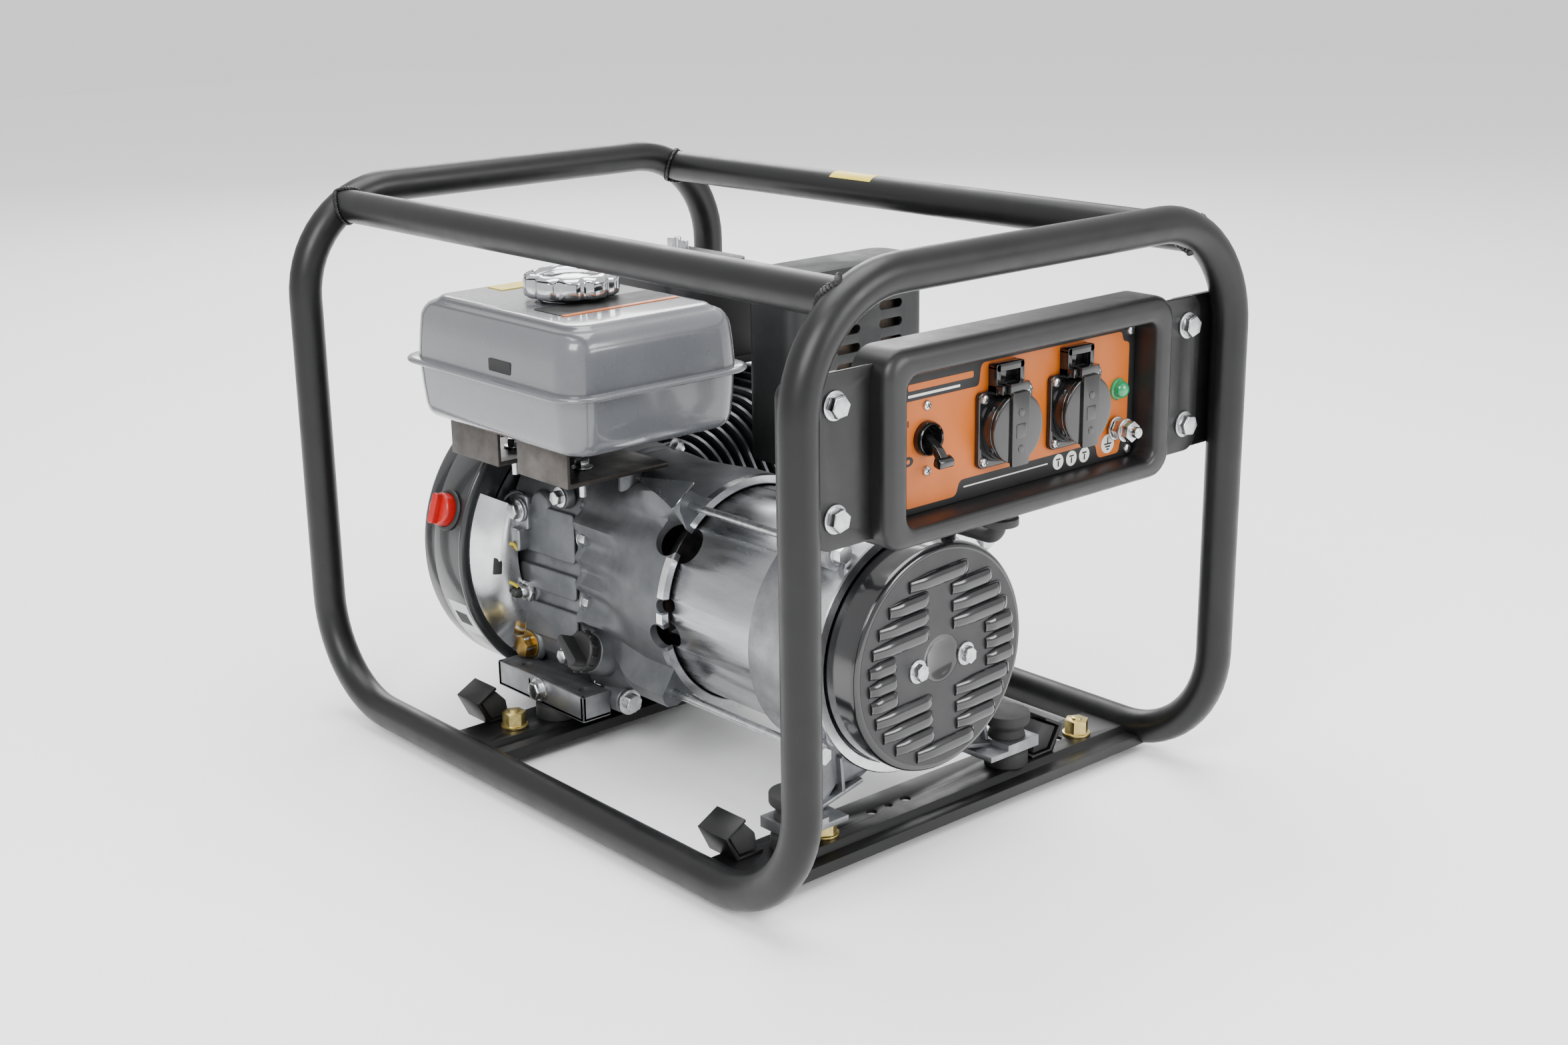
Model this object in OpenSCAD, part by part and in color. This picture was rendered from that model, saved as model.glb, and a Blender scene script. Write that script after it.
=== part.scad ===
/* [Frame] */
// Distance between the two arch centrelines
frame_len = 569.4; // [560:0.2:580]
// Distance between the side tube centrelines
frame_wid = 405; // [400:1:412]
// Height of the arch centreline above the bottom tube centreline
frame_hgt = 400; // [395:1:405]
// Tube outside diameter
tube_d = 25.4; // [24:0.2:26]
// Tube wall thickness
tube_wall = 1.8; // [1.2:0.1:2.5]
// Centreline radius of every tube bend
bend_r = 80; // [75:1:85]
// Sideways place of the two straight top rails
rail_y = 163; // [158:1:166]

/* [Engine and alternator] */
// Shaft axis, sideways
axis_y = -30; // [-32:0.5:-28]
// Shaft axis height above the ground
axis_z = 137; // [136:0.5:138]
// Upward lean of the cylinder
cyl_tilt = 25; // [25:1:25]
// Alternator shell radius
shell_r = 80.5; // [80:0.5:81]
// Radius of the through-bolt circle
bolt_ring_r = 98; // [97:0.5:99]
// Fan housing radius
blower_r = 119; // [117:0.5:120]

/* [Control panel] */
// Half width of the panel box
panel_w2 = 136; // [130:1:136]
// Panel box height
panel_h = 126; // [122:1:128]
// Height of the panel centre
panel_z = 307; // [305:0.5:309]
// Front plane of the panel box
panel_x = 291; // [289:0.5:292]

/* [Fuel tank] */
// Tank seam height
seam_z = 303; // [302:0.5:304]
// Tank length at the seam
tank_len = 224; // [216:1:226]
// Tank width at the seam
tank_wid = 172; // [166:1:174]

/* [Hidden] */
$fn = 64;

eps = 0.01;
tube_r = tube_d / 2;
hoop_x = frame_len / 2;
side_y = frame_wid / 2;
low_z = 16.7;
top_z = low_z + frame_hgt;
bend_low_x = hoop_x - bend_r;
bend_low_z = low_z + bend_r;
bend_top_y = side_y - bend_r;
bend_top_z = top_z - bend_r;
rail_z = bend_top_z + sqrt(bend_r * bend_r - pow(rail_y - bend_top_y, 2));

// pressed cross channels
chan_top = 20;
chan_low = 8;
chan_t = 2.5;
chan_w = 53;
chan_step = 38;
chan_x = [175, -127];
chan_end_y = side_y - 2;

// rubber feet and rubber mounts, [x, y]
feet_at = [[200, -107], [200, 152], [-105, -150], [-105, 150]];
foot_r = 16.5;
pad_at = [[-102, -111], [-102, 51]];
buffer_at = [[200, -134], [200, 74]];
lug_low = 34;
lug_high = 42;
base_z = 31;

// alternator stations along the shaft
bell_x = 43;
shell_end = 137;
cover_back = 201;
cover_front = 234;
cover_r = 80.4;
bolt_turn = 53.2;
bolt_r = 3;
bolt_head_x = 199;

// engine stations
case_back = -165;
seam_x = -78;
cyl_x = -112;
deck_d = 148;
bore_r = 34;
fin_w = 110;
fan_front = -168;
fan_back = -207;
recoil_back = -245;
cam_y = axis_y + 26.4;
cam_z = axis_z - 32.9;
pulley_r = 60;
handle_y = axis_y + pulley_r;
handle_x = -232;
handle_z = 258;

// control panel
box_back = 257;
flange_x = 272.5;
plate_x = 270;
plate_t = 1.5;
open_w2 = 116.5;
open_low = 259;
open_high = 351.5;
socket_y = [-15.5, 52.5];
socket_z = 303;
lid_x = 284;
lid_r = 23;
hinge_z = socket_z + 27;
lead_x = 268;
lead_y = -12;
lead_run = 26;
breaker_y = -84;
breaker_z = 306.5;

// fuel tank
tank_x = -78;
tank_y = -98;
tank_low = 258;
tank_high = 350;
cap_at = [-82, -95];
cap_r = 35;
neck_r = 20;

// ignition lead from the coil to the plug cap
coil_route = [[-176, 77, 122], [-160, 84, 112], [-152, 148, 112], [-146, 163.7, 123.5]];

// tank brackets
bracket_x = [-133, -46];
bracket_w = [62, 62];
boss_top = 228;

// oil filler and choke
oil_at = [-61.5, -108, 81];
oil_tilt = 20;
choke_z = 257;

// muffler guard
guard_low = 208.5;
guard_high = 357;

/* shared shapes */

// outline of a rounded rectangle centred on the origin
function round_rect(w, h, r, n = 5) = [
    for (c = [0:3]) for (i = [0:n])
        let (a = c * 90 + i * 90 / n, sx = (c == 0 || c == 3) ? 1 : -1, sy = c < 2 ? 1 : -1)
            [sx * (w / 2 - r) + r * cos(a), sy * (h / 2 - r) + r * sin(a)]
];

module plate(w, h, r, t) linear_extrude(t) polygon(round_rect(w, h, r));

// stands a shape drawn in Z up so that its Z runs along +X, its X along +Y and its Y along +Z
module along_x(x = 0) translate([x, 0, 0]) multmatrix([[0, 0, 1, 0], [1, 0, 0, 0], [0, 1, 0, 0], [0, 0, 0, 1]])
    children();

module rod_x(x0, x1, y, z, r) translate([x0, y, z]) rotate([0, 90, 0]) cylinder(r = r, h = x1 - x0);

module ring_x(x0, x1, r1, r0, y = axis_y, z = axis_z) difference() {
    rod_x(x0, x1, y, z, r1);
    rod_x(x0 - 1, x1 + 1, y, z, r0);
}

module tube(length) difference() {
    cylinder(r = tube_r, h = length);
    translate([0, 0, -1]) cylinder(r = tube_r - tube_wall, h = length + 2);
}

module bend() rotate_extrude(angle = 90) translate([bend_r, 0]) difference() {
    circle(tube_r);
    circle(tube_r - tube_wall);
}

// local frame of the cylinder: +Y runs from the crankshaft to the head
module cylinder_frame(d = 0) translate([cyl_x, axis_y, axis_z]) rotate([cyl_tilt, 0, 0]) translate([0, d, 0])
    children();

// a round piece standing on the cylinder axis
module on_cylinder(d, r, h) cylinder_frame(d) rotate([-90, 0, 0]) cylinder(r = r, h = h);

module at_bolts(x) for (q = [0:3])
    let (a = bolt_turn - 90 * q)
        translate([x, axis_y - bolt_ring_r * cos(a), axis_z + bolt_ring_r * sin(a)])
            rotate([0, 90, 0]) children();

/* frame */

module hoop() {
    for (s = [-1, 1]) {
        translate([0, s * side_y, low_z]) rotate([0, 90, 0]) tube(bend_low_x);
        translate([bend_low_x, s * side_y, bend_low_z]) rotate([90, 0, 0]) rotate([0, 0, -90]) bend();
        translate([hoop_x, s * side_y, bend_low_z]) tube(bend_top_z - bend_low_z);
    }
    for (s = [0, 1]) mirror([0, s, 0])
        translate([hoop_x, bend_top_y, bend_top_z]) rotate([90, 0, 90]) bend();
    translate([hoop_x, bend_top_y, top_z]) rotate([90, 0, 0]) tube(2 * bend_top_y);
}

module frame_hoop_front() color("#2b2b2d") hoop();

module frame_hoop_rear() color("#2b2b2d") mirror([1, 0, 0]) hoop();

// solid stand-in for one upper bend, used to cope the ends of the rails
module bend_cutter() for (m = [0, 1]) mirror([m, 0, 0])
    translate([hoop_x, bend_top_y, bend_top_z]) rotate([90, 0, 90])
        rotate_extrude(angle = 90) translate([bend_r, 0]) circle(tube_r);

module one_rail() difference() {
    translate([-hoop_x, rail_y, rail_z]) rotate([0, 90, 0]) cylinder(r = tube_r, h = 2 * hoop_x);
    translate([-hoop_x - 1, rail_y, rail_z]) rotate([0, 90, 0])
        cylinder(r = tube_r - tube_wall, h = 2 * hoop_x + 2);
    bend_cutter();
}

module top_rails() color("#2b2b2d") for (s = [0, 1]) mirror([0, s, 0]) one_rail();

// solid stand-in for the lower bends, used to cope the front channel
module low_bend_cutter() for (s = [-1, 1])
    translate([bend_low_x, s * side_y, bend_low_z]) rotate([90, 0, 0]) rotate([0, 0, -90])
        rotate_extrude(angle = 90) translate([bend_r, 0]) circle(tube_r);

module channel_profile() polygon([
    [0, chan_low], [0, chan_top], [chan_step, chan_top], [chan_step + 4, chan_top - 4],
    [chan_w, chan_top - 4], [chan_w, chan_low], [chan_w - chan_t, chan_low],
    [chan_w - chan_t, chan_top - 4 - chan_t], [chan_step + 3, chan_top - 4 - chan_t],
    [chan_step - 1, chan_top - chan_t], [chan_t, chan_top - chan_t], [chan_t, chan_low]
]);

module channel(x) difference() {
    translate([x, chan_end_y, 0]) rotate([90, 0, 0]) linear_extrude(2 * chan_end_y) channel_profile();
    for (s = [-1, 1]) rod_x(x - 1, min(x + chan_w + 1, bend_low_x), s * side_y, low_z, tube_r);
    if (x > 0) low_bend_cutter();
    for (g = [-42, 118], k = [-1, 0, 1]) translate([x + 21, g + 16.5 * k, 0])
        cylinder(r = k == 0 ? 3 : 4, h = 30);
    for (f = feet_at) if (abs(f[0] - x - 25) < 30) translate([f[0], f[1], 0]) cylinder(r = 4, h = 30);
    for (f = concat(pad_at, buffer_at)) if (abs(f[0] - x - 25) < 30)
        translate([f[0], f[1], 0]) cylinder(r = 4, h = 30);
}

module cross_channels() color("#262628") for (x = chan_x) channel(x);

module panel_tabs() color("#2b2b2d") for (s = [-1, 1]) difference() {
    translate([0, s * 178, 307]) along_x(flange_x - 4) plate(56, 108, 9, 4);
    translate([hoop_x, s * side_y, 240]) cylinder(r = tube_r, h = bend_top_z - 240);
    mirror([0, s < 0 ? 1 : 0, 0]) bend_cutter();
    for (z = [272, 342]) rod_x(flange_x - 6, flange_x + 1, s * 166, z, 4.2);
}

module rubber_feet() color("#1c1c1c") for (f = feet_at) translate([f[0], f[1], 0]) difference() {
    rotate_extrude() polygon([[0, 0], [foot_r - 2, 0], [foot_r, 2], [foot_r - 5.5, chan_top - chan_t],
                              [0, chan_top - chan_t]]);
    translate([0, 0, 5]) cylinder(r = 4, h = 20);
}

module foot_nuts() color("#cfc39a") for (f = feet_at)
    translate([f[0], f[1], 0]) {
        translate([0, 0, 5]) cylinder(r = 3.9, h = 28.5);
        translate([0, 0, chan_top]) cylinder(r = 10.5, h = 2);
        translate([0, 0, chan_top + 2]) cylinder(r = 9.2, h = 10, $fn = 6);
    }

// bent sheet bracket: a lip, an inclined web and a base on the channel
module snubber() rotate([90, 0, 90]) linear_extrude(29, center = true) polygon([
    [-11, 0], [12, 0], [12, 2.4], [-8.2, 2.4], [-17.4, 18.4], [-2, 26.6], [-3.2, 28.8], [-20.8, 19.4]
]);

module snubber_brackets() color("#202022") {
    translate([178, -167, chan_top]) snubber();
    translate([196, 103, chan_top]) mirror([0, 1, 0]) snubber();
    translate([-135, -152, chan_top]) snubber();
}

module vibration_mounts() color("#1d1d1d") {
    for (p = pad_at) translate([p[0], p[1], 0]) {
        translate([0, 0, chan_top]) cylinder(r = 17, h = base_z - chan_top);
        translate([0, 0, 9]) cylinder(r = 3.9, h = 12);
    }
    for (p = buffer_at) translate([p[0], p[1], 0]) {
        translate([0, 0, chan_top]) rotate_extrude() polygon([
            [0, 0], [16, 0], [16, 10], [13, 14], [10.8, 14], [10.8, 22], [14, 22], [12, 28],
            [17, 33], [17, 40], [0, 40]
        ]);
        translate([0, 0, 9]) cylinder(r = 3.9, h = 12);
    }
}

/* control panel */

module panel_bezel() color("#2e2e30") difference() {
    union() {
        translate([0, 0, panel_z]) along_x(box_back) plate(2 * panel_w2, panel_h, 16, panel_x - box_back);
        translate([0, 0, 307]) along_x(flange_x) plate(362, 110, 12, 3.5);
    }
    translate([0, 0, (open_low + open_high) / 2]) along_x(plate_x)
        plate(2 * open_w2, open_high - open_low, 6, 40);
    translate([0, 0, (open_low + open_high) / 2]) along_x(box_back + 3)
        plate(2 * open_w2 - 14, open_high - open_low - 14, 4, 40);
    for (s = [-1, 1], z = [272, 342]) rod_x(flange_x - 2, flange_x + 6, s * 166, z, 4.2);
}

module face_plate() color("#c0702a") difference() {
    translate([0, 0, (open_low + open_high) / 2]) along_x(plate_x)
        plate(2 * open_w2 - 0.6, open_high - open_low - 0.6, 5.7, plate_t);
    for (y = socket_y) rod_x(plate_x - 1, plate_x + 3, y, socket_z, 20.6);
    rod_x(plate_x - 1, plate_x + 3, breaker_y, breaker_z, 10);
    rod_x(plate_x - 1, plate_x + 3, 99, 307.5, 5.2);
    rod_x(plate_x - 1, plate_x + 3, 97, 280.8, 4.2);
    for (z = [-1, 1]) rod_x(plate_x - 1, plate_x + 3, breaker_y, breaker_z + 21 * z, 2.1);
    for (s = [-1, 1], z = [open_low + 5, open_high - 5]) rod_x(plate_x - 1, plate_x + 3, s * 110.5, z, 2.1);
}

module panel_fasteners() color("#d5d5d5") {
    for (s = [-1, 1], z = [272, 342]) {
        rod_x(flange_x - 8, flange_x + 4, s * 166, z, 4);
        rod_x(flange_x + 3.5, flange_x + 5, s * 166, z, 9);
        translate([flange_x + 5, s * 166, z]) rotate([0, 90, 0]) cylinder(r = 7.5, h = 5.5, $fn = 6);
        translate([flange_x - 10.5, s * 166, z]) rotate([0, 90, 0]) cylinder(r = 7.5, h = 6.5, $fn = 6);
    }
    screws = concat(
        [for (s = [-1, 1], z = [open_low + 5, open_high - 5]) [s * 110.5, z]],
        [for (z = [-1, 1]) [breaker_y, breaker_z + 21 * z]]);
    for (p = screws) {
        rod_x(plate_x + plate_t, plate_x + plate_t + 1.8, p[0], p[1], 3.6);
        rod_x(plate_x, plate_x + plate_t + eps, p[0], p[1], 2);
    }
}

module socket_bodies() color("#161616") for (y = socket_y) difference() {
    union() {
        translate([0, y, socket_z]) along_x(plate_x + plate_t) plate(50, 50, 4, 4);
        rod_x(plate_x - 9, plate_x + plate_t + eps, y, socket_z, 20.4);
        rod_x(plate_x + plate_t, lid_x - 0.6, y, socket_z, 22.5);
        translate([plate_x + plate_t, y - 9, hinge_z - 7]) cube([lid_x - plate_x - plate_t - 7.3, 18, 9]);
        for (s = [-1, 1]) translate([lid_x - 8, y + s * 11 - 2, hinge_z - 4]) cube([8, 4, 6]);
        for (s = [-1, 1]) translate([plate_x + plate_t, y + s * 11 - 2, hinge_z - 6]) cube([7.5, 4, 21]);
        translate([plate_x + plate_t, y - 13, hinge_z + 10]) cube([7.5, 26, 5]);
    }
    rod_x(plate_x - 5, lid_x + 1, y, socket_z, 19);
    for (s = [-1, 1]) rod_x(plate_x - 12, plate_x, y + 9.5 * s, socket_z, 2.4);
    translate([lid_x - 4, y - 20, hinge_z]) rotate([-90, 0, 0]) cylinder(r = 1.55, h = 40);
    for (sy = [-1, 1], sz = [-1, 1])
        rod_x(plate_x, plate_x + 10, y + 20.5 * sy, socket_z + 20.5 * sz, 1.6);
}

module socket_lid(y) color("#121212") {
    rod_x(lid_x, lid_x + 2.5, y, socket_z, lid_r);
    translate([lid_x + 2.5 - eps, y - 8, socket_z - 24]) cube([2.5, 16, 48]);
    translate([lid_x + 0.2, y - 8, hinge_z - 5]) cube([2.4, 16, 6]);
    translate([lid_x - 4, y - 8, hinge_z]) rotate([-90, 0, 0]) cylinder(r = 2.6, h = 16);
    translate([lid_x - 4, y - 8, hinge_z + 0.6]) cube([6.6, 16, 2]);
    translate([lid_x - 4, y - 12.9, hinge_z]) rotate([-90, 0, 0]) cylinder(r = 1.5, h = 25.8);
}

module socket_lid_left() socket_lid(socket_y[0]);

module socket_lid_right() socket_lid(socket_y[1]);

module breaker_body() color("#151515") difference() {
    union() {
        rod_x(plate_x + plate_t, plate_x + plate_t + 5, breaker_y, breaker_z, 11.4);
        rod_x(plate_x - 9, plate_x + plate_t + eps, breaker_y, breaker_z, 9.8);
    }
    translate([plate_x - 6, breaker_y - 3.2, breaker_z - 8]) cube([20, 6.4, 16]);
    translate([plate_x + 1, breaker_y - 8, breaker_z]) rotate([-90, 0, 0]) cylinder(r = 1.55, h = 16);
}

module breaker_lever() color("#101010") translate([plate_x + 1, breaker_y, breaker_z]) {
    rotate([-90, 0, 0]) translate([0, 0, -7.8]) cylinder(r = 1.5, h = 15.6);
    rotate([90, 0, 0]) linear_extrude(5.6, center = true) polygon([
        [-2.4, 2.4], [-2.4, -2.4], [1, -3.4], [8.5, -7.4], [14.5, -13.8], [18, -11.5], [12, -3.2], [2.4, 2.6]
    ]);
}

module pilot_lamp() color("#0c7a4c") translate([0, 99, 307.5]) {
    rod_x(plate_x - 8, plate_x + plate_t + eps, 0, 0, 5);
    rod_x(plate_x + plate_t, plate_x + plate_t + 2, 0, 0, 7);
    translate([plate_x + plate_t + 2 - eps, 0, 0]) rotate([0, 90, 0]) rotate_extrude()
        polygon([[0, 0], [5.6, 0], [5.6, 3], for (a = [15:15:75]) [5.6 * cos(a), 3 + 4.4 * sin(a)], [0, 7.4]]);
}

module ground_terminal() color("#c8c8c8") translate([0, 97, 280.8]) {
    rod_x(plate_x - 8, plate_x + 22, 0, 0, 4);
    rod_x(plate_x + plate_t, plate_x + plate_t + 1.5, 0, 0, 8);
    for (x = [1.5, 10]) translate([plate_x + plate_t + x, 0, 0]) rotate([0, 90, 0])
        cylinder(r = 7.4, h = 6, $fn = 6);
    rod_x(plate_x + plate_t + 7.5, plate_x + plate_t + 10, 0, 0, 8);
}

// gland under the panel box and the loom that runs back into the end cover
module lead_elbow() rotate_extrude(angle = 90) translate([10, 0]) circle(5);

module panel_lead() color("#181818") translate([lead_x, lead_y, 0]) {
    translate([0, 0, 235]) cylinder(r = 13, h = panel_z - panel_h / 2 - 235);
    translate([-10, 0, 235]) rotate([90, 0, 0]) rotate([0, 0, -90]) lead_elbow();
    translate([-lead_run - 10, 0, 225]) rotate([0, 90, 0]) cylinder(r = 5, h = lead_run);
    translate([-lead_run - 10, 0, 215]) rotate([90, 0, 0]) rotate([0, 0, 90]) lead_elbow();
}

/* alternator */

// vents that straddle the joint between the bell and the shell, [turn, radius]
module bell_vents() for (v = [[-38.4, 14], [-6, 5], [10, 9.5]])
    translate([bell_x, axis_y, axis_z]) rotate([v[0], 0, 0]) translate([0, -60, 0])
        rotate([90, 0, 0]) cylinder(r = v[1], h = 60);

module stator_shell() color("#b9bcc0") difference() {
    ring_x(bell_x + 0.2, shell_end - 0.2, shell_r, shell_r - 1.6);
    bell_vents();
}

module stator_core() color("#8b8d90") difference() {
    rod_x(58, 122, axis_y, axis_z, shell_r - 1.8);
    rod_x(57, 123, axis_y, axis_z, 52);
    for (k = [0:11]) translate([57, axis_y, axis_z]) rotate([k * 30, 0, 0]) translate([0, -3, 51])
        cube([66, 6, 14]);
}

module stator_winding() color("#a8562a") for (x = [48.5, 122.5]) ring_x(x, x + 9, 74, 54);

// shaft end socket, laminated core with its coils, slip rings and the cooling fan
module rotor() color("#77797c") difference() {
    union() {
        rod_x(16, 214, axis_y, axis_z, 12.4);
        rod_x(61, 119, axis_y, axis_z, 51.3);
        rod_x(50, 130, axis_y, axis_z, 34);
        rod_x(192, 206, axis_y, axis_z, 17);
        rod_x(18, 24, axis_y, axis_z, 70);
        for (k = [0:9]) translate([23.9, axis_y, axis_z]) rotate([k * 36, 0, 0]) translate([0, -1, 28])
            cube([15, 2, 40]);
    }
    rod_x(14, 44, axis_y, axis_z, 8);
}

module rotor_bearing() color("#b5b8bb") {
    ring_x(166, 181, 26, 21);
    ring_x(166, 181, 17, 12.45);
    for (k = [0:8]) translate([173.5, axis_y, axis_z]) rotate([k * 40, 0, 0]) translate([0, 0, 19])
        sphere(r = 3, $fn = 24);
}

// one leg of the A-frame under the bracket, drawn about the shaft axis
module bracket_leg(s) {
    along_x(184) linear_extrude(11.9) polygon([
        [s * 26, -82], [s * 74, -46], [s * 82, -58], [s * 86, lug_high - axis_z], [s * 78, lug_low - axis_z],
        [s * 62, -86], [s * 40, -88]
    ]);
    translate([184, s * 104 - 16, lug_low - axis_z]) cube([33, 32, lug_high - lug_low]);
    translate([184, s * 80 - 10, lug_low - axis_z]) cube([33, 20, 4]);
}

module rear_bracket() color("#a9abae") difference() {
    union() {
        ring_x(shell_end, cover_back - 4, 88, 82.5);
        rod_x(cover_back - 8, cover_back - 4, axis_y, axis_z, 88);
        ring_x(160, cover_back - 6, 32, 26.02);
        for (k = [0:5]) translate([160, axis_y, axis_z]) rotate([60 * k + 23, 0, 0])
            translate([0, -3, 31]) cube([cover_back - 166, 6, 54]);
        difference() {
            at_bolts(176) cylinder(r = 12, h = 20);
            rod_x(170, 200, axis_y, axis_z, 82.5);
        }
        translate([0, axis_y, axis_z]) for (s = [-1, 1]) bracket_leg(s);
    }
    at_bolts(150) cylinder(r = bolt_r + 0.3, h = 50);
    for (s = [-1, 1]) rod_x(cover_back - 12, cover_back, axis_y + s * 23, axis_z - 3, 2.9);
    rod_x(cover_back - 20, cover_back, axis_y, axis_z, 20);
    for (k = [0:5]) translate([180, axis_y, axis_z]) rotate([60 * k + 53, 0, 0])
        translate([0, 0, 54]) rotate([0, 90, 0]) cylinder(r = 13, h = 40);
    for (p = buffer_at) translate([p[0], p[1], lug_low - 1]) cylinder(r = 11, h = 30);
}

module through_bolts() color("#c4c6c8") at_bolts(bell_x - 14) {
    cylinder(r = bolt_r, h = bolt_head_x - bell_x + 14);
    translate([0, 0, 196.05 - bell_x + 14]) cylinder(r = 8, h = 1.5);
    translate([0, 0, 197.5 - bell_x + 14]) cylinder(r = 6.4, h = 6, $fn = 6);
}

module end_cover() color("#1f1f21") difference() {
    union() {
        difference() {
            rod_x(cover_back - 4, cover_front, axis_y, axis_z, cover_r);
            rod_x(cover_back - 5, cover_front - 1.8, axis_y, axis_z, cover_r - 1.8);
        }
        for (s = [-1, 1]) ring_x(cover_back - 4, cover_front - 1, 6, 2.9, axis_y + s * 23, axis_z - 3);
    }
    for (s = [-1, 1]) rod_x(cover_back - 5, cover_front + 1, axis_y + s * 23, axis_z - 3, 2.9);
    translate([lead_x - lead_run - 20, lead_y, axis_z + 60]) cylinder(r = 5.3, h = 40);
    for (k = [-5:5]) if (k != 0) for (s = [-1, 1])
        let (half = sqrt(pow(cover_r - 12, 2) - pow(12 * k, 2)), near = abs(k) < 3 ? 34 : 7)
            if (half - near > 8) translate([cover_front - 3, axis_y + (s > 0 ? near : -half), axis_z + 12 * k - 1.5])
                cube([5, half - near, 3]);
}

module brush_gear() color("#3a2c22") {
    translate([cover_back - 3.9, axis_y - 12, axis_z + 26]) cube([22, 24, 34]);
    for (x = [0, 7]) translate([cover_back - 4 + x, axis_y - 2.5, axis_z + 17.1]) cube([4, 5, 9]);
}

/* engine */

// near side of the crank chamber in the cross plane, grown or shrunk by g
function case_outline(g) = [
    [-84 - g, 40 - g], [36 + g, 40 - g], [44 + g, 60], [47 + g, 117], [1, 218 + g], [-20, 224 + g],
    [-62, 222 + g], [-88 - g, 206 + g], [-98 - g, 186], [-98 - g, 62]
];

module crankcase() color("#75777a") difference() {
    union() {
        along_x(case_back) linear_extrude(seam_x - case_back) polygon(case_outline(0));
        on_cylinder(50, 41, deck_d - 50);
        for (k = [0:8]) cylinder_frame(68 + 9 * k) rotate([-90, 0, 0]) translate([0, -4, 0])
            plate(fin_w, 116, 26, 2.4);
        for (y = [-111, 53]) translate([case_back + 2, y - 12, base_z]) cube([112.5, 24, 20]);
        translate([case_back + 6, -105, base_z + 4]) cube([seam_x - case_back - 8, 22, 14]);
        translate([case_back + 6, 35, base_z + 4]) cube([seam_x - case_back - 8, 8, 14]);
        translate([bracket_x[0], -74, 200]) cylinder(r = 9, h = boss_top - 200);
    }
    on_cylinder(20, bore_r, deck_d);
    rod_x(case_back + 12, seam_x + 1, axis_y, axis_z, 60);
    rod_x(case_back + 12, seam_x + 1, cam_y, cam_z, 34);
    rod_x(case_back - 1, seam_x, axis_y, axis_z, 12.55);
    rod_x(case_back + 4, case_back + 14, cam_y, cam_z, 7.05);
    for (y = [-111, 51], x = [-65, -140.5]) translate([x, y, base_z - 1]) cylinder(r = 4.5, h = 30);
    translate([-148, -99, 109]) rotate([-90, 0, 0]) cylinder(r = 5, h = 20);
}

module oil_neck() translate(oil_at) rotate([90 - oil_tilt, 0, 0]) children();

module crankcase_cover() color("#7c7e81") difference() {
    union() {
        along_x(seam_x + 0.01) linear_extrude(34) polygon(case_outline(0));
        rod_x(-46, bell_x, axis_y, axis_z, 88);
        difference() {
            at_bolts(-40) cylinder(r = 12, h = bell_x + 40);
            rod_x(-20, bell_x + 1, axis_y, axis_z, 84);
        }
        difference() {
            oil_neck() translate([0, 0, -26]) cylinder(r = 15, h = 26);
            rod_x(seam_x - 20, bell_x, axis_y, axis_z, 60);
        }
        for (s = [-1, 1]) translate([-50, axis_y + s * 60 - 9, 54]) cube([52, 18, 30]);
        rod_x(-60, -40, -88, 42, 10);
        translate([bracket_x[1], -74, 200]) cylinder(r = 9, h = boss_top - 200);
    }
    on_cylinder(30, 41.2, 60);
    rod_x(seam_x - 1, -32, axis_y, axis_z, 60);
    rod_x(seam_x - 1, -56, cam_y, cam_z, 34);
    rod_x(-57, -50, cam_y, cam_z, 7.05);
    rod_x(-33, -12, axis_y, axis_z, 12.55);
    rod_x(-14, bell_x + 1, axis_y, axis_z, 82);
    oil_neck() translate([0, 0, -40]) cylinder(r = 10, h = 41);
    bell_vents();
    at_bolts(bell_x - 15) cylinder(r = bolt_r + 0.02, h = 30);
}

module cylinder_head() color("#8a8c8f") difference() {
    union() {
        cylinder_frame(deck_d) rotate([-90, 0, 0]) plate(94, 92, 16, 40);
        for (k = [0:3]) cylinder_frame(deck_d + 3 + 9 * k) rotate([-90, 0, 0]) plate(106, 104, 22, 2.4);
    }
    cylinder_frame(deck_d - 1) rotate([-90, 0, 0]) cylinder(r = 30, h = 9);
    cylinder_frame(deck_d + 22) translate([0, 0, -60]) cylinder(r = 7.2, h = 55);
    cylinder_frame(deck_d + 20) translate([20, 0, 12]) rotate([0, 90, 0]) cylinder(r = 11, h = 60);
    cylinder_frame(deck_d + 20) translate([-20, 0, 12]) rotate([0, -90, 0]) cylinder(r = 10, h = 60);
}

module valve_cover() color("#3a3b3d") cylinder_frame(deck_d + 40.2) rotate([-90, 0, 0]) {
    plate(88, 86, 14, 5);
    translate([0, 0, 4.9]) plate(72, 70, 12, 22);
}

module spark_plug() color("#d8d5cc") cylinder_frame(deck_d + 22) translate([0, 0, -60]) {
    translate([0, 0, 4]) cylinder(r = 7, h = 48);
    translate([0, 0, -2]) cylinder(r = 10, h = 6.1, $fn = 6);
    translate([0, 0, -26]) cylinder(r = 5.5, h = 24.1);
}

// coil block beside the flywheel, its lead and the moulded cap on the plug
module ignition_coil() color("#1b1b1b") {
    translate([-200, axis_y + 99.5, axis_z - 20]) cube([26, 14, 40]);
    cylinder_frame(deck_d + 22) translate([0, 0, -100]) difference() {
        union() {
            cylinder(r = 9, h = 34);
            translate([-38, 0, 6]) rotate([0, 90, 0]) cylinder(r = 5, h = 34);
        }
        translate([0, 0, 12]) cylinder(r = 5.6, h = 30);
    }
    for (k = [0:len(coil_route) - 2]) hull() for (p = [coil_route[k], coil_route[k + 1]])
        translate(p) sphere(r = 3.5, $fn = 12);
}

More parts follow.
